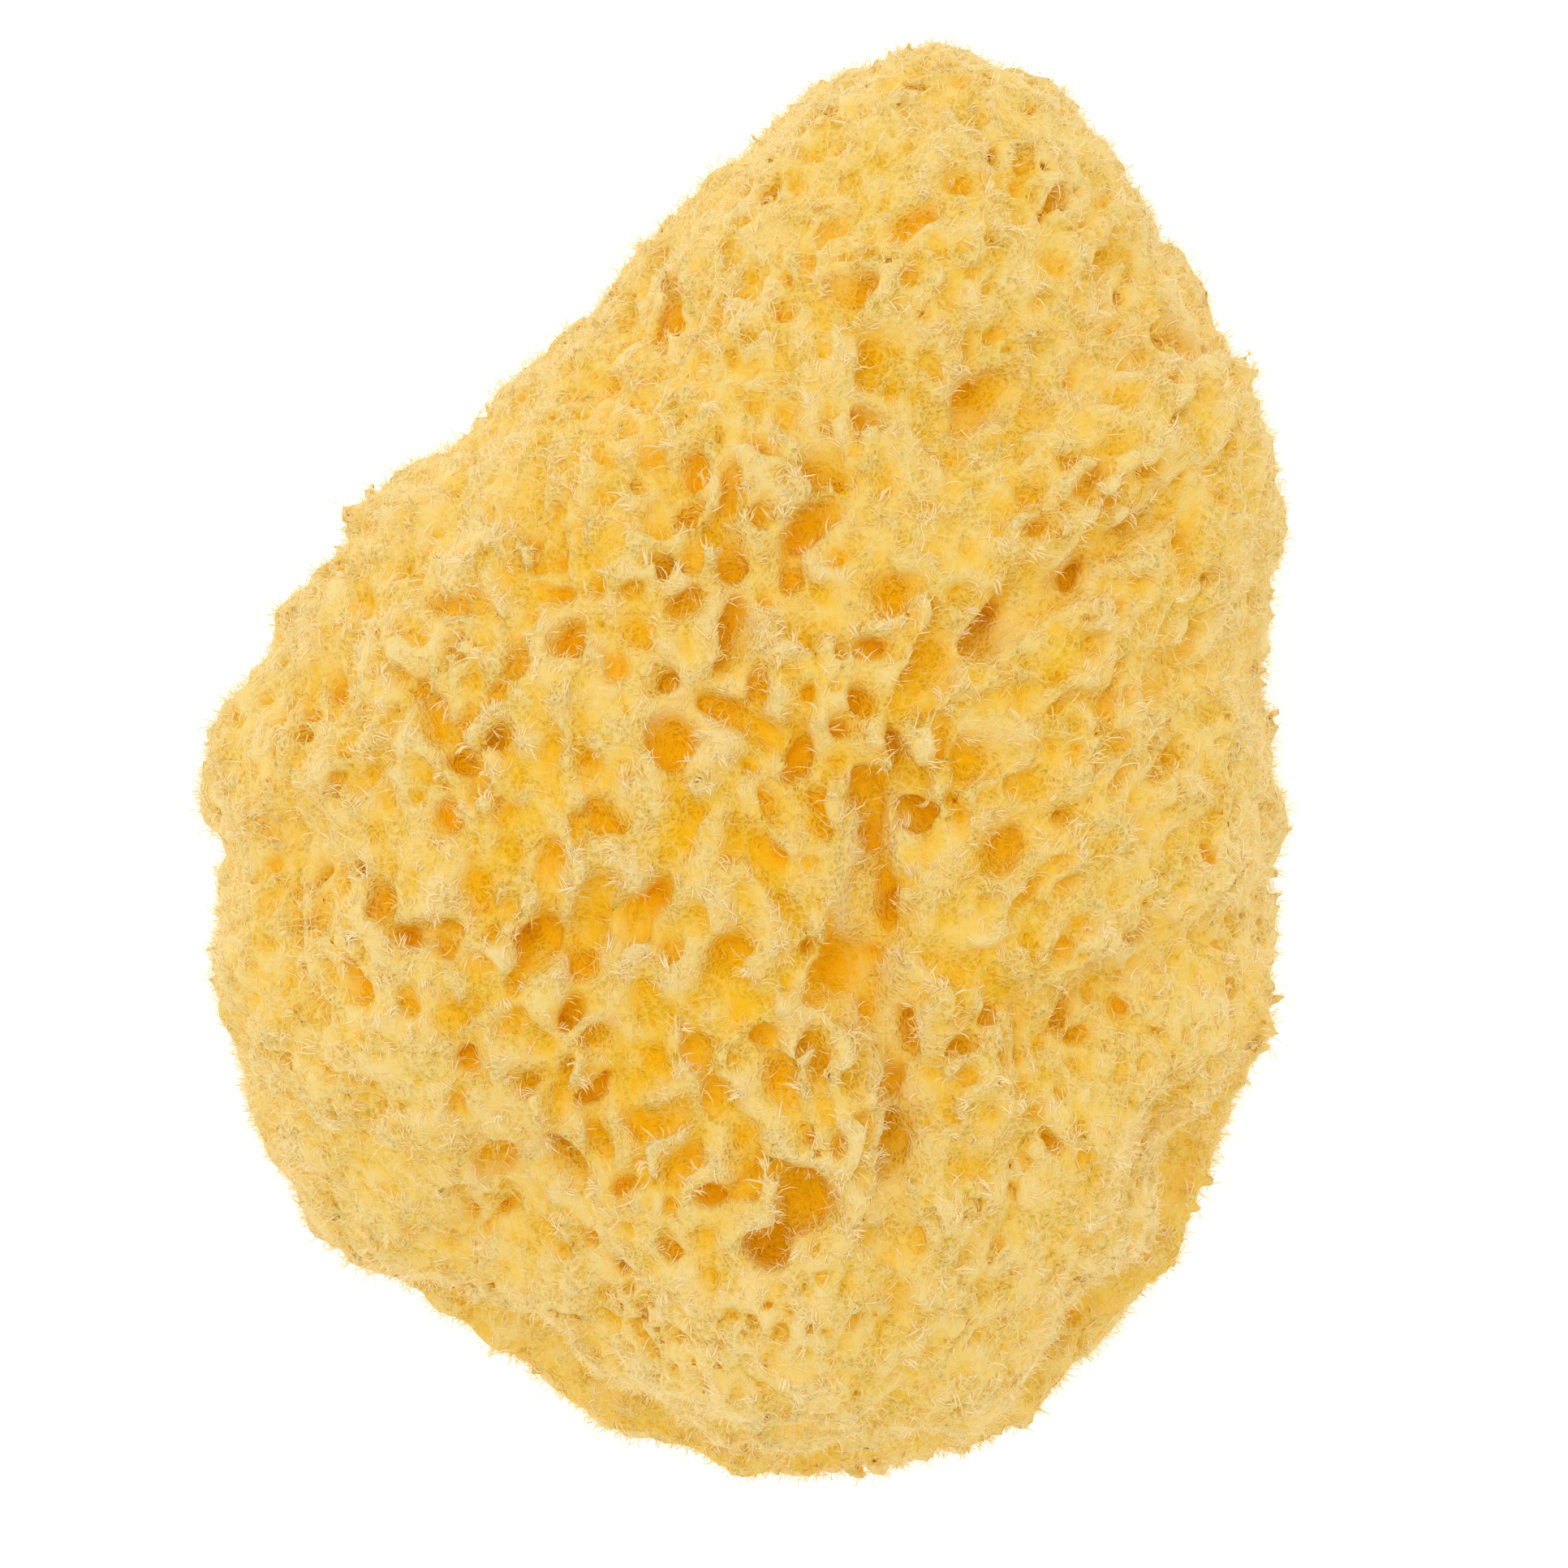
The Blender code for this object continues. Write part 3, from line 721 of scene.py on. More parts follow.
def lattice_noise(axes, size, seed):
    """Smooth noise over a block, about 1 high, with swells of one size."""
    dice = np.random.default_rng(seed)
    weights = []
    for axis in axes:
        place = (axis - axis[0]) / size
        step = place.astype(int)
        t = place - step
        count = step[-1] + 4
        rows = np.zeros((len(axis), count), np.float32)
        shares = (
            (1 - t) ** 3 / 6,
            (3 * t**3 - 6 * t**2 + 4) / 6,
            (-3 * t**3 + 3 * t**2 + 3 * t + 1) / 6,
            t**3 / 6,
        )
        for k, share in enumerate(shares):
            rows[np.arange(len(axis)), step + k] = share
        weights.append(rows)
    lattice = dice.normal(0, 1, [w.shape[1] for w in weights]).astype(np.float32)
    block = np.tensordot(weights[0], lattice, (1, 0))
    block = np.tensordot(weights[1], block, (1, 1)).transpose(1, 0, 2)
    block = np.tensordot(block, weights[2], (2, 1))
    return block / block.std()


class Field:
    """A block of distances to the sponge's surface, negative inside."""

    def __init__(self, low, high, cell):
        self.low, self.cell = np.array(low, float), cell
        counts = np.ceil((np.array(high) - self.low) / cell).astype(int) + 1
        self.axes = [self.low[k] + cell * np.arange(counts[k]) for k in range(3)]
        x, y, z = np.meshgrid(*self.axes, indexing="ij", sparse=True)
        self.value = np.empty(counts, np.float32)
        for k in range(counts[0]):
            points = np.stack(np.broadcast_arrays(x[k], y[0], z[0]), axis=-1)
            self.value[k] = -skin_depth(points)
        for size, height, seed in CLUMPS:
            self.value += height * lattice_noise(self.axes, size, seed)
        self.solid = self.value
        self.warp = np.stack(
            [
                sum(
                    height * lattice_noise(self.axes, size, seed + axis)
                    for size, height, seed in WARPS
                )
                for axis in range(3)
            ],
            axis=-1,
        )

    def sample(self, block, points):
        """A block's value at points, between its grid's corners."""
        place = (points - self.low) / self.cell
        place = np.clip(place, 0, np.array(self.value.shape) - 1.001)
        step = place.astype(int)
        t = place - step
        total = np.zeros(len(points))
        for corner in np.ndindex(2, 2, 2):
            share = np.prod(np.where(corner, t, 1 - t), axis=1)
            total += share * block[tuple((step + corner).T)]
        return total

    def openness(self, points):
        """1 where the air in front of the surface is open, less in a pit or a crevice."""
        slope = np.empty(points.shape)
        for axis in range(3):
            offset = np.zeros(3)
            offset[axis] = OPEN_SLOPE
            slope[:, axis] = self.sample(self.value, points + offset)
            slope[:, axis] -= self.sample(self.value, points - offset)
        out = unit(slope)
        shares = [self.sample(self.value, points + step * out) / step for step in OPEN_STEPS]
        return np.clip(sum(shares) / len(shares), 0.0, 1.0)

    def window(self, centre, reach, bend=1.0):
        """The part of the block within reach of a point: slices, and the bent points."""
        cuts, steps = [], []
        for k in range(3):
            a = int((centre[k] - reach - self.low[k]) / self.cell)
            b = int((centre[k] + reach - self.low[k]) / self.cell) + 2
            a, b = max(a, 0), min(b, len(self.axes[k]))
            if a >= b:
                return None, None
            cuts.append(slice(a, b))
            steps.append(self.axes[k][a:b])
        x, y, z = np.meshgrid(*steps, indexing="ij")
        return tuple(cuts), np.stack([x, y, z], axis=-1) + bend * self.warp[tuple(cuts)]

    def cut(self, start, axis, along, radius, stretch, depth):
        """Sinks one pore."""
        across, deep = radius * stretch * REACH_ACROSS + REACH_MARGIN, depth / 2 + REACH_DEEP
        bend = WIDE_BEND if radius > WIDE_RADIUS else 1.0
        where, points = self.window(start + axis * depth * PORE_MIDDLE, max(across, deep), bend)
        if where is None:
            return
        low, high = PLUG_TOP, depth - radius * PLUG_TAPER
        tool = capsule(points, start, axis, along, radius, stretch, low, high, PLUG_TAPER)
        blend = min(MOUTH_BLEND, MOUTH_SHARE * radius)
        self.value[where] = smooth_cut(self.value[where], tool, blend)

    def add(self, start, axis, along, height):
        """Raises one point, a little wider across than along."""
        where, points = self.window(start, height + REACH_MARGIN)
        if where is None:
            return
        sizes = (POINT_RADIUS, POINT_STRETCH, POINT_ROOT, height, POINT_TIP)
        tool = capsule(points, start, axis, along, *sizes)
        self.value[where] = smooth_join(self.value[where], tool, POINT_BLEND)


def surface(field):
    """Draws the closed mesh where the field changes sign: one point a cell, joined in quads."""
    value = field.value
    inside = value < 0
    corners = [(i, j, k) for i in (0, 1) for j in (0, 1) for k in (0, 1)]
    size = tuple(n - 1 for n in value.shape)

    def at(array, corner):
        i, j, k = corner
        return array[i : i + size[0], j : j + size[1], k : k + size[2]]

    count = sum(at(inside, c).astype(np.int8) for c in corners)
    cells = np.argwhere((count > 0) & (count < 8))
    number = np.full(size, -1, np.int64)
    number[tuple(cells.T)] = np.arange(len(cells))
    total = np.zeros((len(cells), 3))
    hits = np.zeros(len(cells))
    for a in corners:
        for axis in range(3):
            if a[axis]:
                continue
            b = list(a)
            b[axis] = 1
            va = value[tuple((cells + a).T)]
            vb = value[tuple((cells + b).T)]
            crosses = (va < 0) != (vb < 0)
            share = np.where(crosses, va / np.where(crosses, va - vb, 1), 0)
            spot = np.tile(np.array(a, float), (len(cells), 1))
            spot[:, axis] = share
            total += spot * crosses[:, None]
            hits += crosses
    points = field.low + (cells + total / hits[:, None]) * field.cell
    quads = []
    for axis in range(3):
        u, v = (axis + 1) % 3, (axis + 2) % 3
        near = [slice(1, n - 1) for n in value.shape]
        far = list(near)
        near[axis] = slice(0, value.shape[axis] - 1)
        far[axis] = slice(1, value.shape[axis])
        first, second = inside[tuple(near)], inside[tuple(far)]
        places = np.argwhere(first != second)
        outward = first[tuple(places.T)]
        shift = np.ones(3, int)
        shift[axis] = 0
        places = places + shift
        back_u, back_v = np.zeros(3, int), np.zeros(3, int)
        back_u[u], back_v[v] = 1, 1
        ring = [places - back_u - back_v, places - back_v, places, places - back_u]
        quad = np.stack([number[tuple(r.T)] for r in ring], axis=1)
        quad[~outward] = quad[~outward][:, ::-1]
        quads.append(quad)
    return points, np.concatenate(quads)


def largest_part(points, quads):
    """Drops crumbs that hang in a pore or float off the wall."""
    label = np.arange(len(points))
    pairs = np.concatenate([quads[:, (0, 1)], quads[:, (1, 2)], quads[:, (2, 3)]])
    while True:
        low = np.minimum(label[pairs[:, 0]], label[pairs[:, 1]])
        before = label.copy()
        np.minimum.at(label, pairs[:, 0], low)
        np.minimum.at(label, pairs[:, 1], low)
        label = label[label]
        if (label == before).all():
            break
    names, counts = np.unique(label, return_counts=True)
    keep = label == names[counts.argmax()]
    place = np.cumsum(keep) - 1
    return points[keep], place[quads[keep[quads[:, 0]]]]


def add_object(name, data):
    """A new object in the scene."""
    made = bpy.data.objects.new(name, data)
    bpy.context.scene.collection.objects.link(made)
    return made


def read(rows, name, width=1, kind=np.float32):
    """One value, or a few, from each row of a mesh."""
    values = np.empty(len(rows) * width, kind)
    rows.foreach_get(name, values)
    return values if width == 1 else values.reshape(-1, width)


def new_mesh(name, points, faces, corners, smooth=True):
    """A mesh object from arrays, with faces that all have the same number of corners."""
    mesh = bpy.data.meshes.new(name)
    mesh.vertices.add(len(points))
    mesh.vertices.foreach_set("co", np.ascontiguousarray(points, np.float32).ravel())
    mesh.loops.add(faces.size)
    mesh.loops.foreach_set("vertex_index", faces.astype(np.int32).ravel())
    mesh.polygons.add(len(faces))
    starts = np.arange(0, faces.size, corners, dtype=np.int32)
    mesh.polygons.foreach_set("loop_start", starts)
    mesh.update(calc_edges=True)
    if smooth:
        mesh.shade_smooth()
    else:
        mesh.shade_flat()
    return add_object(name, mesh)


def read_points(mesh):
    """A mesh's points, in millimetres from the middle point."""
    return read(mesh.vertices, "co", 3).astype(float) / MM - MIDDLE


def to_metres(points):
    """From millimetres about the middle point to the row's frame."""
    return (points + MIDDLE) * MM


def raise_points(field, mouth, radius, stretch):
    """Raises the points of the walls, where there is room between the pores."""
    spots = spiral_points(POINT_TRIES)
    gap = np.full(len(spots), 1e9)
    for k in range(len(mouth)):
        away = np.linalg.norm(spots - mouth[k], axis=1) - radius[k] * math.sqrt(stretch[k])
        gap = np.minimum(gap, away)
    order = np.argsort(-gap)
    spots = spots[order[gap[order] > POINT_ROOM]]
    room = np.full(len(spots), POINT_GAP / 2)
    kept = thin_out(spots, room, np.zeros(len(spots)), np.empty((0, 3)), np.empty(0))
    spots = spots[kept]
    opening, normal = along_skin(spots, open_heading(spots))
    lean = unit(normal + POINT_LEAN * opening + rng.normal(0, POINT_SPREAD, spots.shape))
    across = np.cross(lean, opening)
    across = unit(across + 1e-6)
    upper = POINT_UPPER[0] + POINT_UPPER[1] * smoothstep(*UPPER_FADE, lean[:, 2])
    coarse = POINT_COARSE[0] + POINT_COARSE[1] * coarse_share(spots)
    share = upper * coarse * (1 - POINT_CLOSED * smooth_flank(spots))
    heights = rng.uniform(*POINT_HEIGHT, len(spots)) * share
    for k in range(len(spots)):
        field.add(spots[k], lean[k], across[k], heights[k])


def build_field():
    """The body's field: skin, unevenness, points, pores and the flat cut."""
    field = Field(FIELD_LOW, FIELD_HIGH, CELL)
    mouth, inward, along, radius, stretch, depth, coarse = all_pores()
    raise_points(field, mouth[:coarse], radius[:coarse], stretch[:coarse])
    field.solid = field.value.copy()
    for k in range(len(mouth)):
        field.cut(mouth[k], inward[k], along[k], radius[k], stretch[k], depth[k])
    up, side = np.array([0.0, 0.0, 1.0]), np.array([1.0, 0.0, 0.0])
    for spot, size in zip(*cut_pores()):
        field.cut(spot, up, side, size, 1.0, size * CUT_DEPTH)
    floor = -MIDDLE[2] - field.axes[2]
    field.value = np.maximum(field.value, floor[None, None, :].astype(np.float32))
    return field


def simplify(made, most):
    """Fewer triangles where the surface is plain, down to a number."""
    made.data.calc_loop_triangles()
    count = len(made.data.loop_triangles)
    if count <= most:
        return
    shrink = made.modifiers.new("fewer", "DECIMATE")
    shrink.ratio = most / count
    graph = bpy.context.evaluated_depsgraph_get()
    thinner = bpy.data.meshes.new_from_object(made.evaluated_get(graph))
    made.modifiers.clear()
    old = made.data
    made.data = thinner
    bpy.data.meshes.remove(old)


def level_cut(mesh):
    """Sets the points of the flat cut back on its plane."""
    places = read(mesh.vertices, "co", 3)
    places[np.abs(places[:, 2]) < CUT_REACH * MM, 2] = 0.0
    mesh.vertices.foreach_set("co", places.ravel())
    mesh.update()


def flatten_creases(mesh):
    """Leaves the faces in sharp creases flat, where an even shade would turn them dark."""
    corner = read(mesh.loops, "vertex_index", 1, np.int32)
    at_points = read(mesh.vertex_normals, "vector", 3)
    at_faces = read(mesh.polygon_normals, "vector", 3)
    starts = read(mesh.polygons, "loop_start", 1, np.int32)
    sizes = read(mesh.polygons, "loop_total", 1, np.int32)
    agree = (at_points[corner] * np.repeat(at_faces, sizes, axis=0)).sum(1)
    least = np.minimum.reduceat(agree, starts)
    mesh.polygons.foreach_set("use_smooth", least >= CREASE_AGREEMENT)
    mesh.update()


def add_values(made, name, values):
    """A number on each point of the mesh, for its material."""
    kept = made.data.attributes.new(name, "FLOAT", "POINT")
    kept.data.foreach_set("value", np.ascontiguousarray(values, np.float32))


def crest_height(points, corner, rounds):
    """How far each point stands above the evened surface round it, along the skin's normal."""
    pairs = np.concatenate([corner[:, (0, 1)], corner[:, (1, 2)], corner[:, (2, 0)]])
    a = np.concatenate([pairs[:, 0], pairs[:, 1]])
    b = np.concatenate([pairs[:, 1], pairs[:, 0]])
    near = np.bincount(a, minlength=len(points))
    even = points.copy()
    for _ in range(rounds):
        mean = [np.bincount(a, even[b, k], len(points)) / near for k in range(3)]
        even = (1 - EVENING) * even + EVENING * np.stack(mean, axis=-1)
    return ((points - even) * skin_normal(points)).sum(1)


def mesh_corners(mesh):
    """A mesh's triangles as rows of three point numbers."""
    mesh.calc_loop_triangles()
    return read(mesh.loop_triangles, "vertices", 3, np.int32)


def read_level_and_painted_light(field, points, corner, crest):
    """How deep and how closed in each point lies, with painted shade in pits and crevices and painted
    light on crests, flanks and the ledge's fold: about 0 on the crests, 1 in the pits.
    """
    # Deeper in the pores and under the skin, and paler on the crests below: partly the sponge's own
    # colour, partly painted shade and glow in the depths and painted highlight on the crests
    level = PORE_SHARE * -field.sample(field.solid, points) + DEPTH_SHARE * skin_depth(points)
    # Painted shade: the less open the air in front of a point, the deeper its colour, as an occlusion
    level += CREVICE_PAINTED_SHADE * (1.0 - field.openness(points))
    level -= crest
    # Painted light and shade at small scale: small bumps made paler, narrow hollows deeper
    level -= FINE_CREST_PAINTED_LIGHT * crest_height(points, corner, FINE_CREST_ROUNDS)
    # A deeper band under the ledge, a painted highlight on its fold and painted shade in its crease
    level += BAND_SHARE * ledge_band(points) + LEDGE_PAINTED_LIGHT_SHARE * ledge_painted_light(points)
    low, high = np.percentile(level[points[:, 2] > 0], LEVEL_ENDS)
    level = (level - low) / (high - low)
    contrast = CONTRAST[0] + CONTRAST[1] * coarse_share(points)
    level = LEVEL_MIDDLE + (level - LEVEL_MIDDLE) * contrast
    # Painted light: flanks that face sideways are made paler
    level -= FLANK_PAINTED_LIGHT * (1.0 - smoothstep(*FLANK_FADE, skin_normal(points)[:, 2]))
    return np.clip(level, *LEVEL_LIMITS)


field = build_field()
points, quads = largest_part(*surface(field))
body = new_mesh("sponge_body", to_metres(points), quads, 4)
simplify(body, MAX_BODY_TRIANGLES)
level_cut(body.data)
body.data.shade_smooth()
flatten_creases(body.data)
body_points = read_points(body.data)
body_corner = mesh_corners(body.data)
crest = crest_height(body_points, body_corner, CREST_ROUNDS)
level = read_level_and_painted_light(field, body_points, body_corner, crest)
add_values(body, "level", level)
add_values(body, "right", right_share(body_points))


# Fibres
def bent_fibres(name, rings, root, heading, bend, length, angle, radius, flat, deep):
    """Thin closed tubes, each bent along an arc from its root, that stay above the cut."""
    steps = np.linspace(0.0, 1.0, rings + 2)
    sizes = np.array([0.0, *np.linspace(1.0, TIP_RADIUS, rings), 0.0])
    heading = unit(heading)
    bend = unit(bend - heading * (bend * heading).sum(1, keepdims=True))
    across = np.cross(heading, bend)
    turn = angle[:, None] * steps[None, :]
    arm = (length / angle)[:, None]
    line = (
        root[:, None, :]
        + (arm * np.sin(turn))[..., None] * heading[:, None, :]
        + (arm * (1 - np.cos(turn)))[..., None] * bend[:, None, :]
    )
    out = (
        -np.sin(turn)[..., None] * heading[:, None, :]
        + np.cos(turn)[..., None] * bend[:, None, :]
    )
    verts = np.empty((len(root), 2 + 3 * rings, 3))
    verts[:, 0] = line[:, 0]
    verts[:, -1] = line[:, -1]
    for side in range(3):
        spin = 2 * math.pi * side / 3
        push = math.cos(spin) * out + math.sin(spin) * across[:, None, :]
        push -= FLATTEN * (push * flat[:, None, :]).sum(-1, keepdims=True) * flat[:, None, :]
        tube = line + push * (radius[:, None] * sizes[None, :])[..., None]
        for ring in range(rings):
            verts[:, 1 + 3 * ring + side] = tube[:, ring + 1]
    above = verts[:, :, 2].min(axis=1) > FLOOR_GAP - MIDDLE[2]
    verts = verts[above]
    faces = []
    last = 1 + 3 * rings
    for side in range(3):
        other = (side + 1) % 3
        faces.append((0, 1 + other, 1 + side))
        for ring in range(rings - 1):
            a, b = 1 + 3 * ring + side, 1 + 3 * ring + other
            faces.append((a, b, b + 3))
            faces.append((a, b + 3, a + 3))
        faces.append((last - 3 + side, last - 3 + other, last))
    faces = np.array(faces)[None] + verts.shape[1] * np.arange(len(verts))[:, None, None]
    made = new_mesh(name, to_metres(verts.reshape(-1, 3)), faces.reshape(-1, 3), 3, False)
    rise = np.array([0.0, *np.repeat(steps[1:-1], 3), 1.0])
    # Painted shade: each fibre takes the body's level at its root and is deeper there, paler towards
    # the tip
    shade = deep[above][:, None] + ROOT_PAINTED_SHADE + (TIP_LEVEL - ROOT_PAINTED_SHADE) * rise[None, :]
    add_values(made, "level", shade.ravel())
    return made


def pick_roots(count, share, rim=0.0):
    """Places on the body, by area and a share on each point, with the normal and level there."""
    a, b, c = (body_points[body_corner[:, k]] for k in range(3))
    facing = np.cross(b - a, c - a)
    area = np.linalg.norm(facing, axis=1)
    upright = facing[:, 2] / np.maximum(area, 1e-9)
    growth = UNDER_SHARE[0] + UNDER_SHARE[1] * smoothstep(*UNDER_FADE, upright)
    weight = area * share[body_corner].mean(axis=1) * growth
    weight *= 1.0 - rim * smoothstep(*TOP_BARE_FADE, upright)
    weight[body_points[body_corner[:, 0], 2] < ROOT_GAP - MIDDLE[2]] = 0
    pick = rng.choice(len(body_corner), count, p=weight / weight.sum())
    u, v = rng.random((2, count))
    flip = u + v > 1
    u[flip], v[flip] = 1 - u[flip], 1 - v[flip]
    root = a[pick] + (b - a)[pick] * u[:, None] + (c - a)[pick] * v[:, None]
    return root, unit(facing[pick]), level[body_corner[pick]].mean(axis=1)


def tuft_fibres(bundles, per_bundle):
    """Small bundles that stand on the crests and curl over together."""
    root, normal, deep = pick_roots(bundles, smoothstep(*TUFT_CREST, crest) + 0.01)
    opening, skin_out = along_skin(root, open_heading(root))
    out = normal + TUFT_OUT * skin_out + TUFT_DRIFT * opening
    out = unit(out + rng.normal(0, TUFT_SPREAD, root.shape))
    curl = rng.normal(0, 1, root.shape)
    upper = 0.5 + 0.5 * smoothstep(*UPPER_FADE, skin_out[:, 2])
    reach = rng.uniform(*TUFT_LENGTH, bundles) * upper
    turn = rng.uniform(*TUFT_TURN, bundles)
    rows = (root, out, curl, normal)
    root, out, curl, normal = (np.repeat(v, per_bundle, axis=0) for v in rows)
    upper, reach, turn, deep = (np.repeat(v, per_bundle) for v in (upper, reach, turn, deep))
    count = len(root)
    heading = unit(out + rng.normal(0, STRAND_SPREAD, root.shape))
    root = root - out * STRAND_SUNK + rng.normal(0, STRAND_ROOM, root.shape)
    bend = curl + rng.normal(0, STRAND_BEND, root.shape)
    length = reach * rng.uniform(*STRAND_LENGTH, count)
    angle = turn * rng.uniform(*STRAND_TURN, count)
    radius = rng.uniform(*TUFT_RADIUS, count) * (0.5 + 0.5 * upper)
    return root, heading, bend, length, angle, radius, normal, deep - TUFT_PALER


def felt_fibres(count, lift, sizes, lengths, outward, share, rim=0.0):
    """Fibres that lie over the walls between pores."""
    root, normal, deep = pick_roots(count, share, rim)
    opening, _ = along_skin(root, open_heading(root))
    heading = rng.normal(0, 1, root.shape) + DRIFT * opening
    heading = unit(heading - normal * (heading * normal).sum(1, keepdims=True))
    heading = unit(heading + normal * rng.uniform(*outward, count)[:, None])
    bend = rng.normal(0, 1, root.shape) - FELT_DOWN * normal
    length = rng.uniform(*lengths, count)
    angle = rng.uniform(*FELT_TURN, count)
    radius = rng.uniform(*sizes, count)
    return root + normal * lift, heading, bend, length, angle, radius, normal, deep


# Felt: lift, radii, lengths, how far it stands up, where it grows, and how bare the top stays
on_walls = 1.0 - 0.97 * smoothstep(0.3, 0.7, level)
on_crests = 0.12 + smoothstep(-0.05, 0.3, crest)
FELT_A = (0.02, (0.035, 0.065), (0.8, 1.9), (0.0, 0.2), on_walls)
FELT_B = (0.03, (0.03, 0.055), (0.6, 1.3), (0.0, 0.5), on_crests)
FUZZ = (-0.05, (0.028, 0.048), (0.5, 1.4), (0.7, 2.8), on_walls, 0.9)
fibre_pieces = [
    bent_fibres("tuft_fibres", 3, *tuft_fibres(BUNDLES, PER_BUNDLE)),
    bent_fibres("felt_fibres_a", 2, *felt_fibres(STRANDS, *FELT_A)),
    bent_fibres("felt_fibres_b", 2, *felt_fibres(STRANDS, *FELT_B)),
    bent_fibres("fuzz_fibres", 1, *felt_fibres(2 * STRANDS, *FUZZ)),
]


# Materials: colours as screen values of 0 to 255, at places on the level, pale for crests and flanks
# and deep golden for pores and crevices: partly the sponge's own colour, partly painted light and shade
BODY_COLOURS = [
    (0.0, (251, 224, 152)),
    (0.22, (251, 218, 130)),
    (0.42, (252, 212, 103)),
    (0.6, (253, 206, 74)),
    (0.78, (253, 198, 36)),
    (0.97, (255, 194, 8)),
]
FIBRE_COLOURS = [
    (0.0, (254, 235, 182)),
    (0.3, (254, 226, 152)),
    (0.6, (254, 214, 108)),
    (0.95, (254, 200, 50)),
]
SPECK_COLOUR = (232, 158, 34)

# Sizes of the noise, as swells a metre, and how far each moves the level
BLOTCH_SCALE, BLOTCH = 300.0, 0.12
BROAD_SCALE, BROAD = 55.0, 0.07
STREAK_SCALES, STREAK = (700, 2600, 1500), 0.2
STREAK_HEADINGS = (104, 42)
# Painted shade in the felt's pinholes: their size, and how much deeper their colour is made
HOLE_SCALE, PINHOLE_PAINTED_SHADE = 2300.0, 0.46
SPECK_SCALE, SPECK = 2100.0, 0.62
PATCH_SCALE = 420.0
FINE_SCALE = 1500.0
SWIRL_SCALE, SWIRL = 900.0, 0.0006
FIBRE_BLOTCH = 0.2

# The parts of the noises and cells that are read: from one value to another, with what they give
BLOTCH_ENDS = (0.25, 0.75)
NOISE_ENDS = (0.3, 0.7)
HOLE_EDGE = (0.06, 0.4)
HOLE_PATCH = (0.36, 0.62, 0.15, 1.0)
SPECK_EDGE = (0.1, 0.32, 1.0, 0.0)
SPECK_PATCH = (0.42, 0.56)

# Roughness and specular level
FLESH_GLOSS = (0.92, 0.1)
FIBRE_GLOSS = (0.8, 0.15)

# The material's relief: height in metres, and the shares of the noises
RELIEF = 0.0002
RELIEF_STRENGTH = 0.75
FINE_RELIEF = 0.7
STREAK_RELIEF = 0.9


def linear(red, green, blue):
    """A colour from screen values of 0 to 255."""
    values = []
    for value in (red, green, blue):
        share = value / 255
        values.append(share / 12.92 if share <= 0.04045 else ((share + 0.055) / 1.055) ** 2.4)
    return (*values, 1.0)


class Nodes:
    """Short names for adding nodes to a material."""

    def __init__(self, name):
        self.material = bpy.data.materials.new(name)
        self.material.use_nodes = True
        self.tree = self.material.node_tree
        self.shader = self.tree.nodes["Principled BSDF"]

    def add(self, kind, place=None, **values):
        """A new node, with its vector linked from a place."""
        node = self.tree.nodes.new(kind)
        if place is not None:
            self.link(place, node.inputs["Vector"])
        for key, value in values.items():
            if key in node.inputs.keys():
                node.inputs[key].default_value = value
            else:
                setattr(node, key, value)
        return node

    def link(self, start, end):
        self.tree.links.new(start, end)

    def noise(self, place, scale, detail, roughness=0.5):
        values = {"Scale": scale, "Detail": detail, "Roughness": roughness}
        return self.add("ShaderNodeTexNoise", place, **values).outputs["Fac"]

    def point_value(self, name):
        return self.add("ShaderNodeAttribute", attribute_name=name).outputs["Fac"]

    def finish(self, colour, roughness, specular):
        self.link(colour, self.shader.inputs["Base Color"])
        self.shader.inputs["Roughness"].default_value = roughness
        self.shader.inputs["Specular IOR Level"].default_value = specular
        return self.material

    def ramp(self, source, stops):
        node = self.add("ShaderNodeValToRGB")
        bar = node.color_ramp
        while len(bar.elements) < len(stops):
            bar.elements.new(0.5)
        for element, (place, colour) in zip(bar.elements, stops):
            element.position = place
            element.color = linear(*colour)
        self.link(source, node.inputs["Fac"])
        return node.outputs["Color"]

    def grey(self, source, low, high, to_low=0.0, to_high=1.0):
        ends = {"From Min": low, "From Max": high, "To Min": to_low, "To Max": to_high}
        node = self.add("ShaderNodeMapRange", **ends)
        self.link(source, node.inputs["Value"])
        return node.outputs["Result"]

    def maths(self, operation, first, second):
        node = self.add("ShaderNodeMath", operation=operation)
        for socket, value in zip(node.inputs, (first, second)):
            if isinstance(value, (int, float)):
                socket.default_value = value
            else:
                self.link(value, socket)
        return node.outputs["Value"]

    def mix(self, share, first, second):
        node = self.add("ShaderNodeMix", data_type="RGBA")
        for key, value in (("Factor", share), ("A", first), ("B", second)):
            sockets = [s for s in node.inputs if s.name == key and s.enabled]
            if isinstance(value, (int, float, tuple)):
                sockets[0].default_value = value
            else:
                self.link(value, sockets[0])
        return [s for s in node.outputs if s.enabled][0]


def drawn_noise(n, place, heading):
    """Fine noise drawn out along a heading in plan, in degrees."""
    turned = n.add("ShaderNodeMapping", place, vector_type="TEXTURE")
    turned.inputs["Rotation"].default_value = (0, 0, math.radians(heading))
    turned.inputs["Scale"].default_value = tuple(1 / scale for scale in STREAK_SCALES)
    return n.noise(turned.outputs["Vector"], 1.0, 3.0, 0.6)


def streaks(n, place):
    """Streaks that run up the sponge at the left and aslant at the right."""
    right = n.point_value("right")
    upward, aslant = (drawn_noise(n, place, heading) for heading in STREAK_HEADINGS)
    change = n.maths("MULTIPLY", right, n.maths("SUBTRACT", aslant, upward))
    return n.maths("ADD", upward, change)


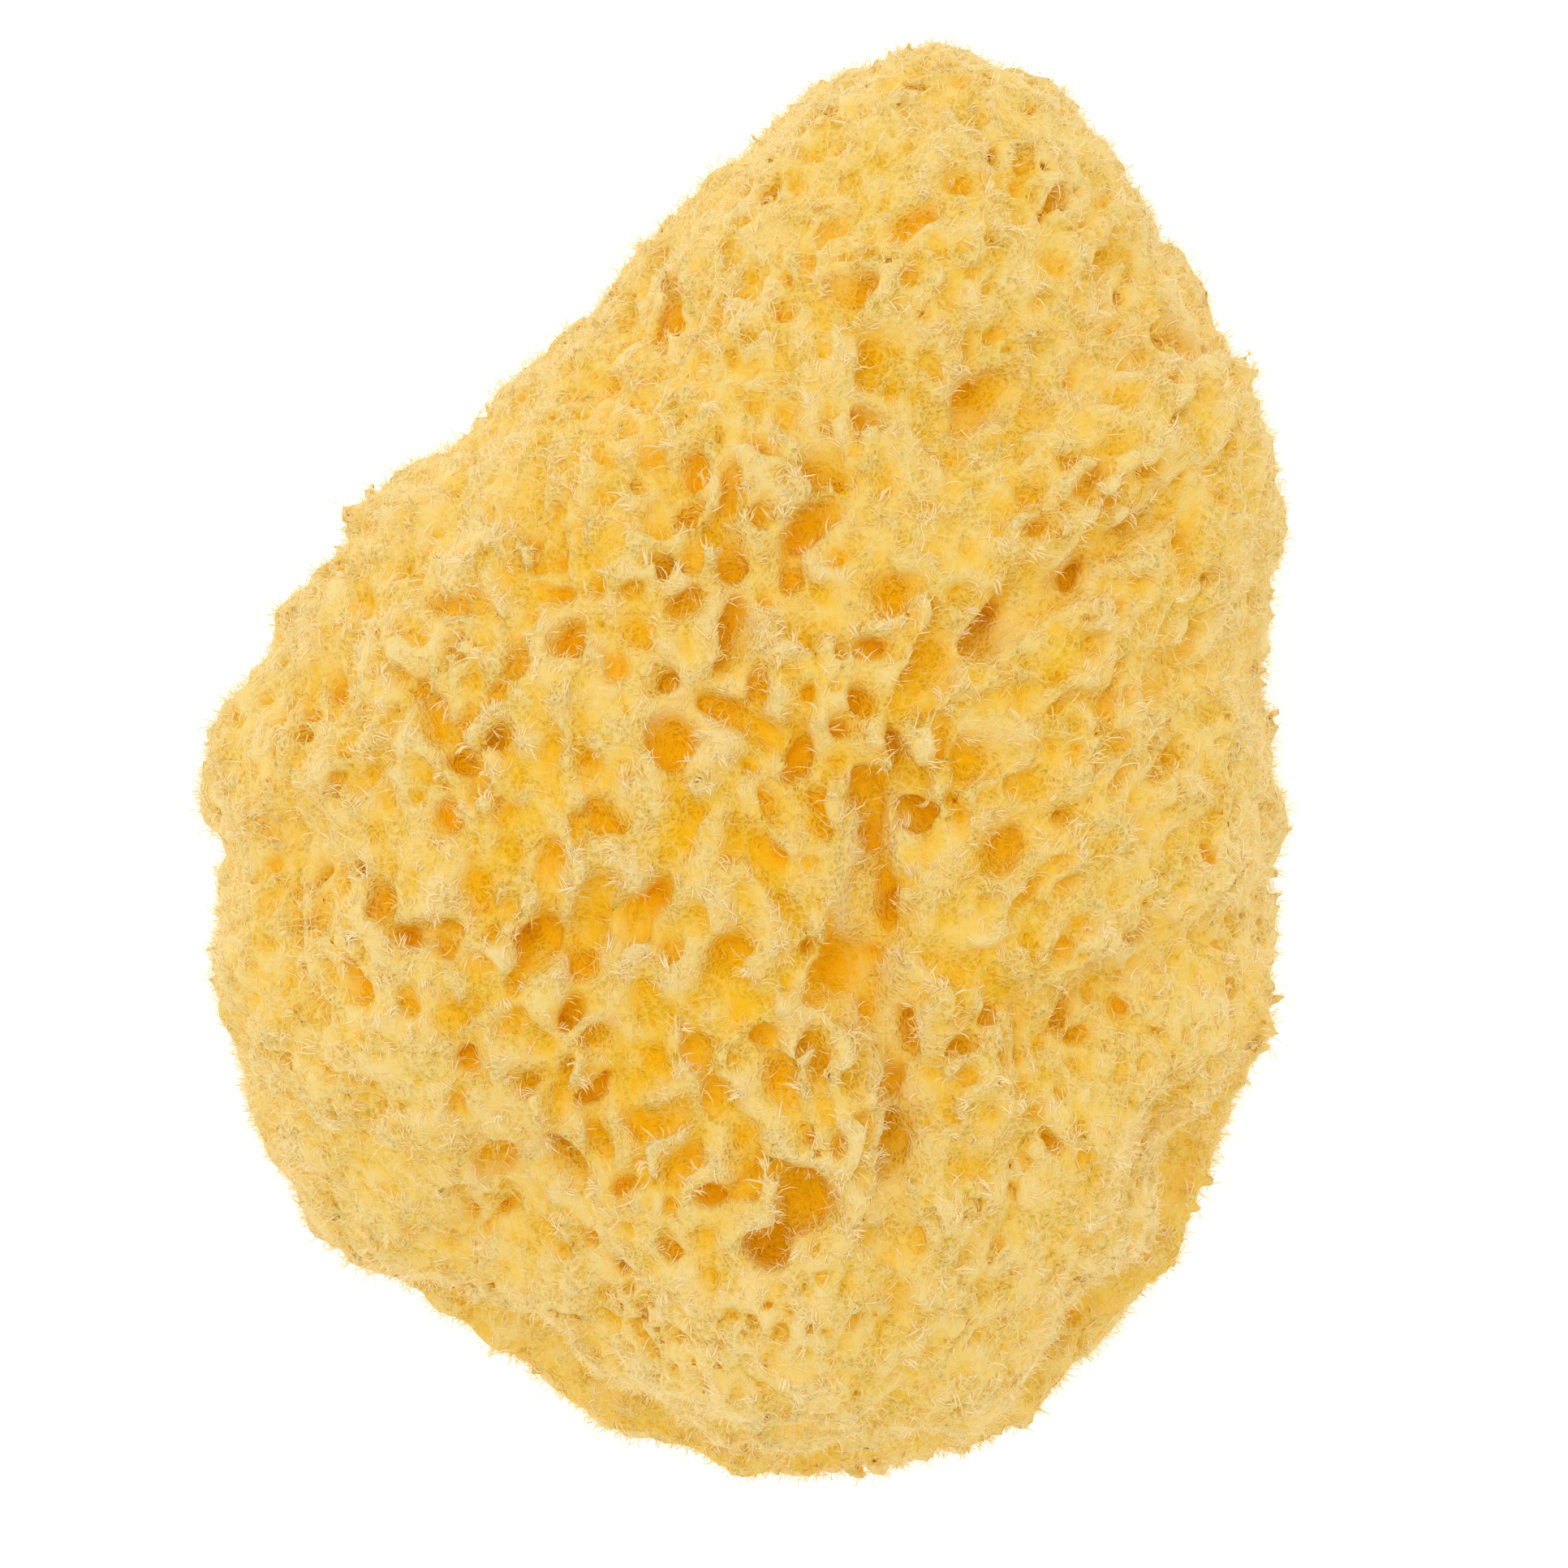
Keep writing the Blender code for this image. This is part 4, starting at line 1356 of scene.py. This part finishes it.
def swirled(n, place):
    """The place, shifted a little by noise, so that cells have no straight walls."""
    bent = n.add("ShaderNodeTexNoise", place, Scale=SWIRL_SCALE, Detail=2.0)
    swirl = n.add("ShaderNodeMix", data_type="VECTOR")
    vectors = [s for s in swirl.inputs if s.enabled and s.type == "VECTOR"]
    swirl.inputs["Factor"].default_value = SWIRL
    n.link(place, vectors[0])
    n.link(bent.outputs["Color"], vectors[1])
    return [s for s in swirl.outputs if s.enabled][0]


def body_material():
    """Golden fibre: pale on the wall tops, saturated deep in the pores and the pinholes, partly its own
    colour and partly painted highlight on the tops and painted shade in the pores and pinholes.
    """
    n = Nodes("sponge_flesh")
    place = n.add("ShaderNodeTexCoord").outputs["Object"]
    woven = swirled(n, place)
    level = n.point_value("level")
    blotch = n.noise(place, BLOTCH_SCALE, 5.0, 0.6)
    broad = n.noise(place, BROAD_SCALE, 3.0)
    patch = n.noise(place, PATCH_SCALE, 3.0, 0.6)
    fine = n.noise(place, FINE_SCALE, 3.0, 0.65)
    cells = n.add("ShaderNodeTexVoronoi", woven, Scale=HOLE_SCALE, feature="DISTANCE_TO_EDGE")
    hole = n.grey(cells.outputs["Distance"], *HOLE_EDGE)
    hole = n.maths("MULTIPLY", hole, n.grey(patch, *HOLE_PATCH))
    streak = streaks(n, place)
    shifted = n.maths("ADD", level, n.grey(blotch, *BLOTCH_ENDS, -BLOTCH, BLOTCH))
    shifted = n.maths("ADD", shifted, n.grey(streak, *NOISE_ENDS, -STREAK, STREAK))
    shifted = n.maths("ADD", shifted, n.grey(broad, *NOISE_ENDS, -BROAD, BROAD))
    # Painted shade: the pinholes' colour made deeper
    shifted = n.maths("ADD", shifted, n.maths("MULTIPLY", hole, PINHOLE_PAINTED_SHADE))
    # The colour follows the level: painted light on crests and flanks, painted shade in pores, crevices
    # and pinholes, over the sponge's own golden tones
    colour = n.ramp(n.grey(shifted, *LEVEL_LIMITS), BODY_COLOURS)
    speck = n.add("ShaderNodeTexVoronoi", woven, Scale=SPECK_SCALE, feature="F1")
    dots = n.grey(speck.outputs["Distance"], *SPECK_EDGE)
    dots = n.maths("MULTIPLY", dots, n.grey(patch, *SPECK_PATCH))
    colour = n.mix(n.maths("MULTIPLY", dots, SPECK), colour, linear(*SPECK_COLOUR))
    rough = n.maths("SUBTRACT", n.maths("MULTIPLY", fine, FINE_RELIEF), hole)
    rough = n.maths("SUBTRACT", rough, n.maths("MULTIPLY", streak, STREAK_RELIEF))
    bump = n.add("ShaderNodeBump", Strength=RELIEF_STRENGTH, Distance=RELIEF)
    n.link(rough, bump.inputs["Height"])
    n.link(bump.outputs["Normal"], n.shader.inputs["Normal"])
    return n.finish(colour, *FLESH_GLOSS)


def fibre_material():
    """Loose fibre: pale straw on the walls, golden where it grows in a pore and towards its root,
    carrying the body's painted shade and adding painted shade at the root.
    """
    n = Nodes("sponge_fibre")
    place = n.add("ShaderNodeTexCoord").outputs["Object"]
    blotch = n.noise(place, PATCH_SCALE, 3.0)
    spread = n.grey(blotch, *NOISE_ENDS, -FIBRE_BLOTCH, FIBRE_BLOTCH)
    colour = n.ramp(n.maths("ADD", n.point_value("level"), spread), FIBRE_COLOURS)
    return n.finish(colour, *FIBRE_GLOSS)


flesh, strand_look = body_material(), fibre_material()
body.data.materials.append(flesh)
for made in fibre_pieces:
    made.data.materials.append(strand_look)

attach(body, "root")
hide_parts("sponge")
for made in fibre_pieces:
    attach(made, "root")


# Floor, light and camera, in metres
FLOOR_REACH = 3.0
FLOOR_GREY = 0.96
FLOOR_GLOW = 0.38
SKY_STRENGTH = 0.815
KEY_PLACE = Vector((-0.14, 0.22, 0.75))
KEY_AIM = Vector((0, 0, 0.02))
KEY_SIZE = 0.6
KEY_POWER = 1.22
KEY_COLOUR = (1.0, 0.99, 0.97)
LENS = 100.0
SENSOR = 36.0

# The photo is 1932 px wide for about 17.6 px a millimetre, at the widest level of the sponge
SPAN = 0.1098
CAMERA_ASIDE = (0.00273, -0.00091)
WIDEST_LEVEL = 0.019
white = (1, 1, 1, 1)

floor_mesh = bpy.data.meshes.new("floor")
floor_corners = [(x * FLOOR_REACH, y * FLOOR_REACH, 0) for x, y in ((-1, -1), (1, -1), (1, 1), (-1, 1))]
floor_mesh.from_pydata(floor_corners, [], [(0, 1, 2, 3)])
floor = add_object("floor", floor_mesh)
paper = Nodes("floor_paper")
paper.shader.inputs["Base Color"].default_value = (FLOOR_GREY, FLOOR_GREY, FLOOR_GREY, 1)
paper.shader.inputs["Emission Color"].default_value = white
paper.shader.inputs["Emission Strength"].default_value = FLOOR_GLOW
paper.shader.inputs["Roughness"].default_value = 0.95
paper.shader.inputs["Specular IOR Level"].default_value = 0.0
floor_mesh.materials.append(paper.material)

lamp = bpy.data.lights.new("key", "AREA")
lamp.shape = "DISK"
lamp.size = KEY_SIZE
lamp.energy = KEY_POWER
lamp.color = KEY_COLOUR
key = add_object("key", lamp)
key.location = KEY_PLACE
key.rotation_mode = "QUATERNION"
key.rotation_quaternion = (KEY_AIM - KEY_PLACE).to_track_quat("-Z", "Y")

world = bpy.data.worlds.new("studio")
world.use_nodes = True
sky = world.node_tree.nodes["Background"]
sky.inputs["Color"].default_value = white
sky.inputs["Strength"].default_value = SKY_STRENGTH
bpy.context.scene.world = world
bpy.context.scene.view_settings.view_transform = "Standard"

camera_data = bpy.data.cameras.new("camera")
camera_data.sensor_width = SENSOR
camera_data.lens = LENS
camera = add_object("camera", camera_data)
camera_x, camera_y = MIDDLE[:2] * MM + CAMERA_ASIDE
camera.location = (camera_x, camera_y, SPAN * LENS / SENSOR + WIDEST_LEVEL)
bpy.context.scene.camera = camera
